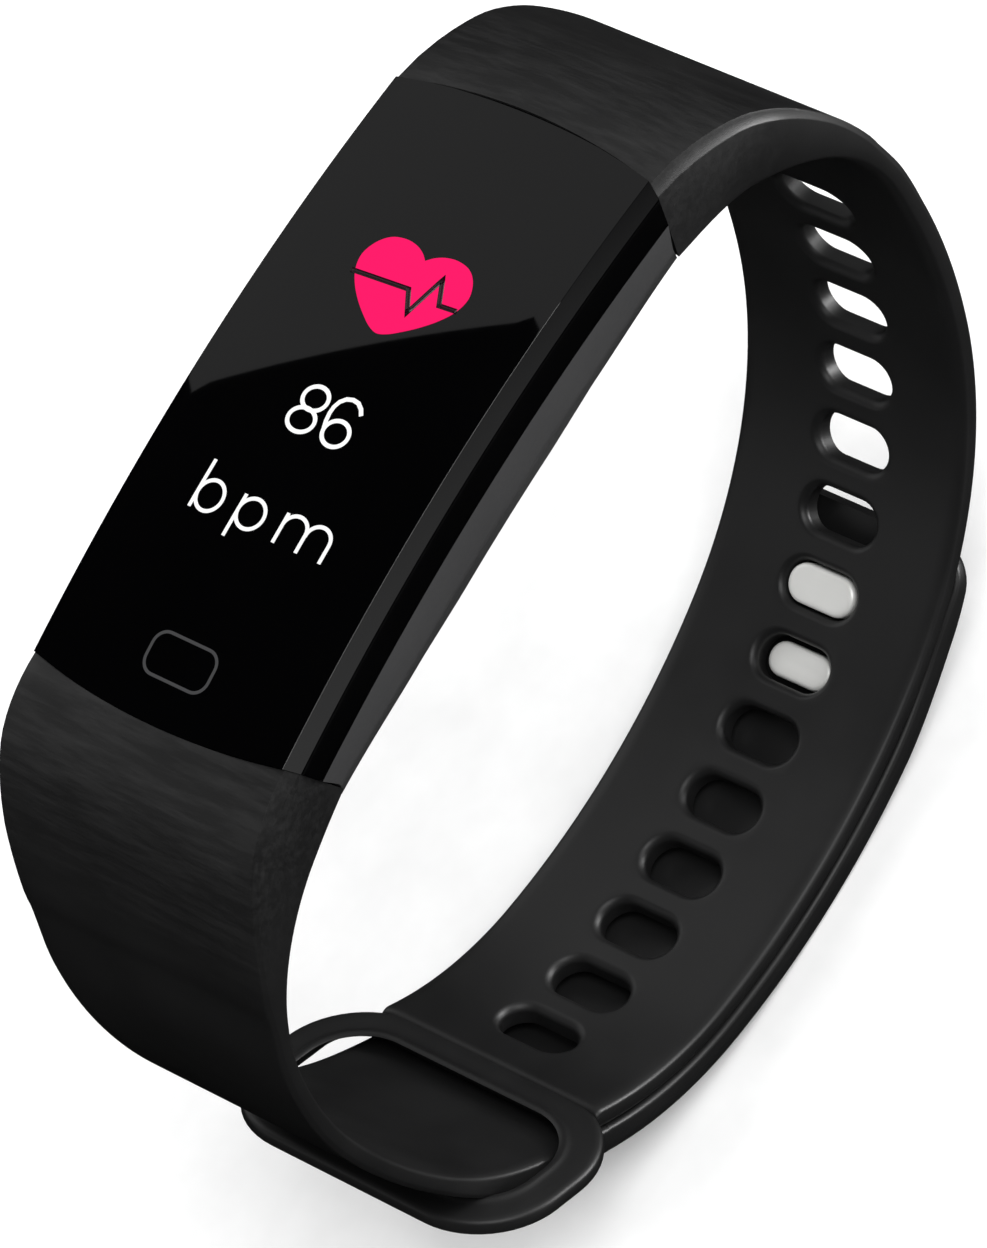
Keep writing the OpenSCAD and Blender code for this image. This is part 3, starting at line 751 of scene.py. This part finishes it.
def pocket_end(weld, station, side):
    """Closes a strap's end at the pod with a wall round the socket's pocket."""
    loop = station.loop()
    count = len(face_row(1))
    mouth, floor = [], []
    for i, (x, y, z) in enumerate(loop):
        half = SOCKET_W / 2
        if i < count:
            py, pz = min(max(y, -half), half), SOCKET_TOP
        elif count + 10 < i < 2 * count + 12:
            py, pz = min(max(y, -half), half), SOCKET_FOOT
        else:
            py, pz = math.copysign(half, y), min(max(z - POD_H, SOCKET_FOOT), SOCKET_TOP)
        mouth.append(row(side * end_x(py, pz, SEAM), py, pz))
        floor.append(row(side * SOCKET_END, py, pz))
    weld.strip(loop, mouth, closed=True)
    weld.strip(mouth, floor, closed=True)
    weld.fan(floor)


def stadium(count_side, count_end, grow):
    """Loop of a stadium hole, in (u along the strap, v across), matched to a block's corners."""
    r, flat = HOLE_W / 2 + grow, (HOLE_L - HOLE_W) / 2
    def at(t):
        """t is a distance round the stadium from its u side's middle."""
        quarter = math.pi / 2 * r
        if t <= flat:
            return (r, t)
        if t <= flat + quarter * 2:
            a = (t - flat) / r
            return (r * math.cos(a), flat + r * math.sin(a))
        if t <= 3 * flat + quarter * 2:
            return (-r, flat - (t - flat - quarter * 2))
        if t <= 3 * flat + quarter * 4:
            a = (t - 3 * flat - quarter * 2) / r
            return (-r * math.cos(a), -flat - r * math.sin(a))
        return (r, -flat + (t - 3 * flat - quarter * 4))
    eighth = math.pi / 4 * r
    total = 4 * flat + 2 * math.pi * r
    side, cap = 2 * (flat + eighth), 2 * eighth
    pts, t = [], -(flat + eighth)
    for span, n in ((side, count_side), (cap, count_end), (side, count_side), (cap, count_end)):
        for i in range(n):
            pts.append(at((t + span * i / n) % total))
        t += span
    return pts


CELL_STEPS = 10
# Each face's depth, its inwards direction, and its rim's width and depth factor
HOLE_RIMS = ((STRAP_T, -1, 0.08, 0.2), (0.0, 1, 0.42, 1.0))


def block_loop():
    """Loop round a hole's block in (u, v), with the same count and corners as the stadium's."""
    hu, hv = HOLE_PITCH / 2, FACE_MID
    pts = [(hu, -hv + 2 * hv * i / MID_STEPS) for i in range(MID_STEPS)]
    pts += [(hu - 2 * hu * i / CELL_STEPS, hv) for i in range(CELL_STEPS)]
    pts += [(-hu, hv - 2 * hv * i / MID_STEPS) for i in range(MID_STEPS)]
    pts += [(-hu + 2 * hu * i / CELL_STEPS, -hv) for i in range(CELL_STEPS)]
    return pts


def lerp2(a, b, t):
    return (a[0] + (b[0] - a[0]) * t, a[1] + (b[1] - a[1]) * t)


def hole_cell(weld, station_at, centre):
    """One pitch of the strap with its hole: both faces, both edges and the hole's wall."""
    def face_point(u, v, d):
        return station_at(centre + u).point(v, d)
    block = block_loop()
    for d_face, inwards, lip, deep in HOLE_RIMS:
        rings = [block]
        outer = stadium(MID_STEPS, CELL_STEPS, lip + 0.1)
        rings += [[lerp2(a, b, t) for a, b in zip(block, outer)] for t in (0.35, 0.7)]
        rings.append(outer)
        for a, b in zip(rings, rings[1:]):
            weld.strip([face_point(*p, d_face) for p in a], [face_point(*p, d_face) for p in b], closed=True)
        rims = [(lip + 0.1, 0.0), (lip, 0.015 * deep), (lip * 0.55, 0.12 * deep), (lip * 0.2, 0.3 * deep),
                (0.0, 0.45 * deep), (0.0, 0.55 * deep)]
        loops = [[face_point(*p, d_face + inwards * drop) for p in stadium(MID_STEPS, CELL_STEPS, grow)]
                 for grow, drop in rims]
        for a, b in zip(loops, loops[1:]):
            weld.strip(a, b, closed=True)
    walls = [[face_point(*p, d) for p in stadium(MID_STEPS, CELL_STEPS, 0.0)]
             for d in (0.55, STRAP_T / 2 + 0.2, STRAP_T - 0.11)]
    for a, b in zip(walls, walls[1:]):
        weld.strip(a, b, closed=True)
    us = [-HOLE_PITCH / 2 + HOLE_PITCH * i / CELL_STEPS for i in range(CELL_STEPS + 1)]
    sections = [station_at(centre + u).rows() for u in us]
    for a, b in zip(sections, sections[1:]):
        weld.strip(a[1], b[1])
        weld.strip(a[3], b[3])
        for face in (0, 2):
            weld.strip(a[face][:RIM_STEPS + 1], b[face][:RIM_STEPS + 1])
            weld.strip(a[face][-RIM_STEPS - 1:], b[face][-RIM_STEPS - 1:])


# Distances along the skin side's path and along the outer path that face each other
UPPER_PAIRS = [(0, 0), (1.2, 3.6), (2.5, 6.1), (5, 9.1), (7.25, 12.1), (9.75, 15.1), (12.25, 18.1),
               (15, 21.1), (17.5, 24)]
LOWER_PAIRS = [(0, 0), (1.25, 1.5), (2.5, 3), (3.75, 4.5), (5, 6), (6, 7.5), (7, 9), (9.25, 12),
               (11.5, 15), (14.25, 18)]
END_FOOT = 0.42  # how far a strap end's skin side is built up to meet the pod's foot
OUTER_INSET = 0.01  # keeps the outer side inside the CAD box


def paired(pairs, s):
    return float(np.interp(s, [p[0] for p in pairs], [p[1] for p in pairs]))


def strap_sides(path, out_path, pairs, thick, s):
    """Skin-side point, outer point and nearness to the pod, at s along a strap that starts there."""
    p = along(*path, s)
    inner, thin = left_of(p, 0), left_of(p, thick)
    outer = left_of(along(*out_path, paired(pairs, s)), -math.copysign(OUTER_INSET, thick))
    outer = outer + (thin - outer) * smooth((s - pairs[-1][0] + 1) / 4.0)
    near = 1 - smooth(s / 5.0)
    return inner + unit(inner - outer) * END_FOOT * near, outer, near


def upper_station(s):
    """The upper strap from the pod to its first hole: thick at the pod, then thinning."""
    inner, outer, near = strap_sides((UPPER_IN_START, UPPER_IN), (UPPER_OUT_START, UPPER_OUT),
                                     UPPER_PAIRS, STRAP_T, s)
    return Station(inner, outer, half_width(inner[1]) - SIDE_INSET * near, half_width(outer[1]),
                   cy=0.42 - 0.1 * (1 - near), cd=0.35 + 0.6 * (1 - smooth(s / 14)),
                   ry=0.15 + 1.0 * (1 - near), rd=0.3 - 0.18 * near, bow=max(0, 1 - s / 5) ** 2,
                   crown=0.5 * (1 - smooth(s / 9)), end_face=(UPPER_IN_START[0], UPPER_OUT_START[0]))


def lower_station(s):
    """The lower strap from the pod to where it turns into the ring."""
    inner, outer, near = strap_sides((LOWER_IN_START, LOWER_IN), (LOWER_OUT_START, LOWER_OUT),
                                     LOWER_PAIRS, -LOWER_T, s)
    return Station(inner, outer, half_width(inner[1]) - SIDE_INSET * near, half_width(outer[1]),
                   cy=0.42 - 0.14 * (1 - near), cd=0.28 + 0.67 * (1 - smooth(s / 9)),
                   ry=0.15 + 0.65 * (1 - near), rd=0.28 - 0.16 * near, bow=max(0, 1 - s / 5) ** 2,
                   crown=0.36 * (1 - smooth(s / 10)), end_face=(-LOWER_IN_START[0], -LOWER_OUT_START[0]))


def hole_station(s):
    """The strap where it has its holes and on to the ring: an even, flat section."""
    p = along(UPPER_IN_START, UPPER_IN, s)
    return Station(left_of(p, 0), left_of(p, STRAP_T), STRAP_W / 2, STRAP_W / 2,
                   cy=0.32, cd=0.35, ry=1.15, rd=0.3)


def make_upper_strap():
    weld = Weld()
    first_cell = FIRST_HOLE - HOLE_PITCH / 2
    last_cell = first_cell + HOLE_COUNT * HOLE_PITCH
    stations = [upper_station(s) for s in steps(0, first_cell, 0.7)]
    stations[-1] = hole_station(first_cell)
    loft(weld, stations)
    pocket_end(weld, stations[0], 1)
    for i in range(HOLE_COUNT):
        hole_cell(weld, hole_station, FIRST_HOLE + i * HOLE_PITCH)
    root = [hole_station(s) for s in steps(last_cell, UPPER_L - 0.9, 0.5)]
    # The skin side rounds off before the ring's lower band
    for s, drop in ((0.7, 0.0), (0.5, 0.03), (0.35, 0.09), (0.22, 0.19), (0.15, 0.34)):
        end = hole_station(UPPER_L - s)
        p = along(UPPER_IN_START, UPPER_IN, UPPER_L - s)
        root.append(Station(left_of(p, drop), end.outer, end.w_in, end.w_out,
                            end.cy, end.cd, end.ry, end.rd))
    loft(weld, root)
    weld.fan(root[-1].loop())
    strap = weld.piece("hole_strap_skin", SILICONE, None, "silicone", angle=50)
    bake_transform(strap)
    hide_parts("upper_strap_end", "upper_shoulder", "hole_strap")


def ring_frame():
    """The ring's root, and the directions along it and out of its skin side."""
    root = along(UPPER_IN_START, UPPER_IN, UPPER_L)
    return np.array(root[:2]), direction(RING_ANGLE), direction(RING_ANGLE + 90)


def ring_outline(x0, x1, half, r, n=14, between=10):
    """Rounded outline in (along the ring, across), with the same count of points whatever its size."""
    corners = corner_arcs((x0 + x1) / 2, 0, (x1 - x0) / 2, half, r, n)
    out = []
    for corner, following in zip(corners, corners[1:] + corners[:1]):
        out += corner
        out += [lerp2(corner[-1], following[0], i / between) for i in range(1, between)]
    return out


def make_ring():
    """The strap's ring: a flat band with a thin lip round its opening, which narrows to the skin side."""
    origin, along_dir, out_dir = ring_frame()
    outer = ring_outline(-0.6, RING_L, RING_W / 2, RING_R)
    inner = ring_outline(RING_OPEN[0] + 0.6, RING_OPEN[1] - 0.1, OPEN_W / 2 - 0.5, 4.0)
    foot = ring_outline(RING_OPEN[0], RING_OPEN[1], OPEN_W / 2, OPEN_R)
    # Each (share of the way from outline to opening, depth, share of the opening's draft)
    profile = [(0.0, 0.62, 0), (0.03, 0.46, 0), (0.1, 0.35, 0), (0.22, 0.3, 0), (0.5, 0.28, 0),
               (0.66, 0.28, 0), (0.75, 0.24, 0), (0.81, 0.16, 0), (0.87, 0.12, 0), (0.94, 0.14, 0),
               (1.0, 0.24, 0), (1.0, 0.4, 0.1), (1.0, 0.8, 0.6), (1.0, RING_T - 0.15, 1.0),
               (0.94, RING_T - 0.03, 1.0), (0.86, RING_T, 1.0), (0.5, RING_T, 1.0), (0.14, RING_T, 1.0),
               (0.05, RING_T - 0.06, 1.0), (0.0, RING_T - 0.2, 1.0)]
    weld = Weld()
    loops = []
    for q, d, draft in profile:
        loop = []
        for a, b, c in zip(outer, inner, foot):
            u, v = lerp2(a, lerp2(b, c, draft), q)
            p = origin + along_dir * u + out_dir * d
            loop.append(row(p[0], v, p[1]))
        loops.append(loop)
    for a, b in zip(loops, loops[1:] + loops[:1]):
        weld.strip(a, b, closed=True)
    weld.piece("strap_ring", SILICONE, "band", "silicone", angle=50)


LOWER_FREE_S = 38.5
TAIL_IN = STRAP_T + TAIL_GAP
PASS_END = UPPER_L - 1.5
PASS_PULL = 6.8  # how far the pass's curve is pulled on in each end's direction


def pass_point(out_start, out_end, t):
    """Point on the lower strap's pass through the ring, at a depth out of its skin side at each end."""
    p = along(LOWER_IN_START, LOWER_IN, LOWER_FREE_S)
    root = along(UPPER_IN_START, UPPER_IN, PASS_END)
    a, d = left_of(p, -out_start), left_of(root, TAIL_IN + out_end)
    pull = PASS_PULL + 0.5 * out_end
    b, c = a + pull * direction(p[2]), d - pull * direction(root[2] + 540)
    u = 1 - t
    return u ** 3 * a + 3 * u * u * t * b + 3 * u * t * t * c + t ** 3 * d


TIP_START, TIP_R = TIP_S - 0.1, 2.4


def tail_station(s):
    """The tail outside the holes, at distance s along the strap with the holes.

    It narrows and thins at its tip, and its skin side is dished, so that the holes look dark.
    """
    p = along(UPPER_IN_START, UPPER_IN, s)
    w = STRAP_W / 2 - 0.3 * (1 - smooth((s - TIP_S - 5) / 8))
    into = s - TIP_START
    if into < TIP_R:
        w -= TIP_R - math.sqrt(max(TIP_R ** 2 - (TIP_R - into) ** 2, 0.0))
    thin = 1 - smooth(into / 5.0)
    return Station(left_of(p, TAIL_IN + 0.5 * thin), left_of(p, TAIL_IN + TAIL_T - 0.25 * thin), w, w,
                   cy=0.3, cd=0.3, ry=0.5, rd=0.3, dish=0.8 * (1 - thin))


def make_lower_strap():
    """The lower strap to where it comes out of the ring, and the tail from there to its tip."""
    front = Weld()
    stations = [lower_station(s) for s in steps(0, LOWER_FREE_S, 0.7)]
    for t in steps(0, 1, 0.045)[1:]:
        stations.append(Station(pass_point(0, 0, t), pass_point(LOWER_T, TAIL_T, t), STRAP_W / 2, STRAP_W / 2,
                                cy=0.28, cd=0.28, ry=0.8, rd=0.28))
    loft(front, stations)
    pocket_end(front, stations[0], -1)
    front.fan(stations[-1].loop())
    strap = front.piece("lower_strap_skin", SILICONE, None, "silicone", angle=50)
    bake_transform(strap)
    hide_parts("lower_strap_end", "lower_shoulder", "lower_strap")
    back = Weld()
    stops = steps(PASS_END, TIP_START + 3, 0.7)
    stops += [TIP_START + TIP_R * a for a in (0.95, 0.75, 0.58, 0.43, 0.3, 0.2, 0.12, 0.06, 0.02, 0.0)]
    tail = [tail_station(s) for s in stops]
    loft(back, tail)
    back.fan(tail[0].loop())
    back.fan(tail[-1].loop())
    end = back.piece("tail_skin", SILICONE, None, "silicone", angle=50)
    a, b = (along(UPPER_IN_START, UPPER_IN, FLEX_S + side * FLEX_L / 2)[0] for side in (1, -1))
    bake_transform(end)
    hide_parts("tail_flex", "clasp_tail")


PEG_HEAD_GROW = (0.06, -0.1)
PEG_TOPS = (0.12, 0.95)  # how deep each head lies under the strap's skin side
PEG_FOOT = 0.6  # how far the pegs reach into the tail


def make_pegs():
    """Two pill-shaped pegs with rounded heads, in the seventh and eighth holes."""
    weld = Weld()
    for i in (0, 1):
        s = FIRST_HOLE + (FIRST_PEG_HOLE - 1 + i) * HOLE_PITCH
        p = along(UPPER_IN_START, UPPER_IN, s)
        o, t, n = np.array(p[:2]), direction(p[2]), direction(p[2] + 90)
        def ring_at(grow, d):
            loop = []
            for u, v in stadium(MID_STEPS, CELL_STEPS, -PEG_CLEARANCE + grow):
                q = o + t * u + n * d
                loop.append(row(q[0], v, q[1]))
            return loop
        levels = [(-1.15, 0.0), (-0.8, 0.01), (-0.45, 0.03), (-0.25, 0.06), (-0.12, 0.12), (-0.03, 0.22),
                  (0, 0.34), (0, 1.0), (0, STRAP_T + TAIL_GAP + PEG_FOOT - PEG_TOPS[i])]
        levels = [(PEG_HEAD_GROW[i] + g, d + PEG_TOPS[i]) for g, d in levels]
        loops = [ring_at(*l) for l in levels]
        for a, b in zip(loops, loops[1:]):
            weld.strip(a, b, closed=True)
        weld.fan(loops[0])
        weld.fan(loops[-1])
    pegs = weld.piece("clasp_peg_heads", PEG, "clasp", "peg_steel", angle=45)
    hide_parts("clasp_pegs")


# ---- carried-over CAD nodes

def dress_cad_nodes():
    """Gives each CAD node that stays a material made from its record slot."""
    record = frame["record"]
    slots = {m["slot"]: m for m in record["materials"]}
    slot_of = {s["node"]: s["material_slot"] for s in record["subparts"]}
    metals = {"brushed_steel": 0.3, "aluminium": 0.38, "brass": 0.25}
    made = {}
    for name, obj in frame["nodes"].items():
        slot = slots[slot_of[name]]
        if slot["slot"] not in made:
            colour = tuple(slot["base_color"][:3])
            if slot["class"] in metals:
                made[slot["slot"]] = brushed_material("cad_" + slot["slot"], colour, metals[slot["class"]])
            elif slot["class"] in ("gloss_plastic", "glass"):
                made[slot["slot"]] = gloss_material("cad_" + slot["slot"], colour, 0.15)
            else:
                made[slot["slot"]] = moulded_material("cad_" + slot["slot"], colour, 0.5)
        if obj.data.materials:
            obj.data.materials[0] = made[slot["slot"]]
        else:
            obj.data.materials.append(made[slot["slot"]])


# ---- studio

def plane(name, centre, right, up, width, height, material):
    """A flat card in metres, centred, with its sides along two directions."""
    c, r, u = Vector(centre), Vector(right).normalized() * width / 2, Vector(up).normalized() * height / 2
    corners = [c - r - u, c + r - u, c + r + u, c - r + u]
    mesh = bpy.data.meshes.new(name)
    mesh.from_pydata([tuple(p) for p in corners], [], [(0, 1, 2, 3)])
    mesh.materials.append(material)
    obj = bpy.data.objects.new(name, mesh)
    bpy.context.collection.objects.link(obj)
    return obj


CAMERA_AT = np.array([-105.828, -329.304, 445.359])
CAMERA_RIGHT = (0.518365, -0.746950, -0.416369)
CAMERA_BACK = (-0.179929, -0.571257, 0.800807)
CAMERA_LENS, CAMERA_SENSOR = 270.9, 36


def mirrored(point, normal):
    """Direction in which a ray from the camera leaves a surface at a point."""
    back = unit(CAMERA_AT - point)
    return 2 * (normal @ back) * normal - back


def glass_reflected(x, y):
    """The glass's point at x, y, and the direction in which the camera's ray leaves it there."""
    point = np.array(row(x, y, glass_top(x, y)))
    return point, mirrored(point, unit(glass_normal(x, y)))


def make_camera():
    data = bpy.data.cameras.new("camera")
    data.lens, data.sensor_width = CAMERA_LENS, CAMERA_SENSOR
    data.clip_start, data.clip_end = 0.01, 50
    cam = bpy.data.objects.new("camera", data)
    right, back = Vector(CAMERA_RIGHT), Vector(CAMERA_BACK)
    right.normalize()
    back = (back - right * back.dot(right)).normalized()
    up = back.cross(right)
    m = Matrix((right, up, back)).transposed().to_4x4()
    m.translation = Vector(CAMERA_AT * MM)
    cam.matrix_world = m
    bpy.context.collection.objects.link(cam)
    bpy.context.scene.camera = cam


def bevel_reflected(x):
    """The near bevel's middle at x, and the direction in which the camera's ray leaves it there."""
    slope = math.asin(x / ARCH_R)
    tilt = math.atan2(BEVEL_OUT, BEVEL_DROP)
    n = np.array([math.sin(slope) * math.sin(tilt), -math.cos(tilt), math.cos(slope) * math.sin(tilt)])
    point = np.array(row(x, -(POD_W - BEVEL_OUT) / 2, edge_z(x) - BEVEL_DROP / 2))
    return point, mirrored(point, n)


def emitter(name, strength):
    m, nodes, links, shader = new_material(name)
    nodes.remove(shader)
    light = add(nodes, "ShaderNodeEmission", Color=(1, 1, 1, 1), Strength=strength)
    links.new(light.outputs[0], nodes["Material Output"].inputs["Surface"])
    return m


def graded_emitter(name, high, low):
    """Emission that grades along the card from one strength at its right end to another at its left."""
    m, nodes, links, shader = new_material(name)
    nodes.remove(shader)
    light = add(nodes, "ShaderNodeEmission", Color=(1, 1, 1, 1))
    place = nodes.new("ShaderNodeSeparateXYZ")
    links.new(nodes.new("ShaderNodeTexCoord").outputs["Generated"], place.inputs[0])
    links.new(ramp(nodes, links, place.outputs["X"], 0.0, 1.0, low, high), light.inputs["Strength"])
    links.new(light.outputs[0], nodes["Material Output"].inputs["Surface"])
    return m


def area_light(name, at, towards, size, power):
    data = bpy.data.lights.new(name, "AREA")
    data.shape, data.size, data.energy = "SQUARE", size, power
    obj = bpy.data.objects.new(name, data)
    obj.location = at
    obj.rotation_euler = (Vector(towards) - Vector(at)).to_track_quat("-Z", "Y").to_euler()
    bpy.context.collection.objects.link(obj)


# The glass's reflection: its edge's two ends at x on the glass's far and near sides, then the card
GLASS_EDGE_X = (-3.0, 10.2)
GLASS_CARD_FAR, GLASS_CARD_DEEP, GLASS_CARD_WIDE, GLASS_CARD_GLOW = 420.0, 300.0, 1.2, 0.42
BEVEL_CARD_FAR, BEVEL_CARD_SPARE, BEVEL_CARD_DEEP, BEVEL_CARD_GLOW = 300.0, 1.3, 0.12, (0.10, 0.8)
BEND_AT, BEND_RAY = 9.0, np.array([0.76, -0.59, -0.27])
BEND_CARD_FAR, BEND_CARD_SIZE, BEND_CARD_GLOW = 150.0, (0.06, 0.05), 36.0
FLOOR_SIZE = 8.0
LAMPS = (  # name, place, aim, size, power; the third lights the far rims and the strap's inside
    ("key", (0.1, -0.5, 0.9), (0, 0, -0.02), 0.5, 5.0),
    ("side", (0.6, -0.35, 0.25), (0, 0, -0.02), 0.4, 2.0),
    ("inner_light", (0.15, 0.75, 0.33), (0.01, 0, -0.04), 0.25, 0.9),
    ("back", (-0.5, 0.5, 0.4), (0, 0, -0.02), 0.5, 0.35))


def make_studio():
    world = bpy.data.worlds.new("studio")
    bpy.context.scene.world = world
    world.use_nodes = True
    world.node_tree.nodes["Background"].inputs["Color"].default_value = (1, 1, 1, 1)
    world.node_tree.nodes["Background"].inputs["Strength"].default_value = 1.0
    world.cycles_visibility.glossy = False
    floor_m = moulded_material("floor_pale", (0.93, 0.93, 0.93), 0.8, 300, 0.00001)
    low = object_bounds()[0]
    floor = plane("floor", (0, 0, low[2]), (1, 0, 0), (0, 1, 0), FLOOR_SIZE, FLOOR_SIZE, floor_m)
    floor.visible_glossy = False
    # Card whose straight edge crosses the arched glass in its reflection
    p, rp = glass_reflected(GLASS_EDGE_X[0], GLASS_HALF)
    q, rq = glass_reflected(GLASS_EDGE_X[1], -GLASS_HALF)
    a, b = p + rp * GLASS_CARD_FAR, q + rq * GLASS_CARD_FAR
    edge = unit(b - a)
    inwards = np.cross(edge, -unit(rp + rq))
    if inwards[0] < 0:
        inwards = -inwards
    inwards = unit(inwards)
    centre = (a + b) / 2 + inwards * GLASS_CARD_DEEP / 2
    card = plane("reflection_card", centre * MM, edge, inwards, GLASS_CARD_WIDE, GLASS_CARD_DEEP * MM,
                 emitter("card_glow", GLASS_CARD_GLOW))
    # Card in front of the pod that its near bevel reflects, brighter towards the lower end
    ends = [p + r * BEVEL_CARD_FAR for p, r in (bevel_reflected(x) for x in (-POD_L / 2, POD_L / 2))]
    span = ends[1] - ends[0]
    front = plane("bevel_card", (ends[0] + span * 0.5) * MM, span, np.cross(span, bevel_reflected(0)[1]),
                  np.linalg.norm(span) * MM * BEVEL_CARD_SPARE, BEVEL_CARD_DEEP,
                  graded_emitter("bevel_glow", *BEVEL_CARD_GLOW))
    # Card low on the right, which the chamfer along the upper bend reflects
    bend = along(UPPER_OUT_START, UPPER_OUT, BEND_AT)
    bend = np.array(row(bend[0], -POD_W / 2 + 0.3, bend[1]))
    low_right = plane("bend_card", (bend + BEND_RAY * BEND_CARD_FAR) * MM, np.cross(BEND_RAY, (0, 0, 1)),
                      (0, 0, 1), *BEND_CARD_SIZE, emitter("bend_glow", BEND_CARD_GLOW))
    for c in (card, front, low_right):
        c.visible_camera = False
        c.visible_diffuse = False
        c.visible_shadow = False
    for lamp in LAMPS:
        area_light(*lamp)


bpy.context.scene.view_settings.view_transform = "Standard"
make_lens()
make_mid_frame()
make_case()
make_window()
make_readout()
make_upper_strap()
make_ring()
make_lower_strap()
make_pegs()
dress_cad_nodes()
make_studio()
make_camera()
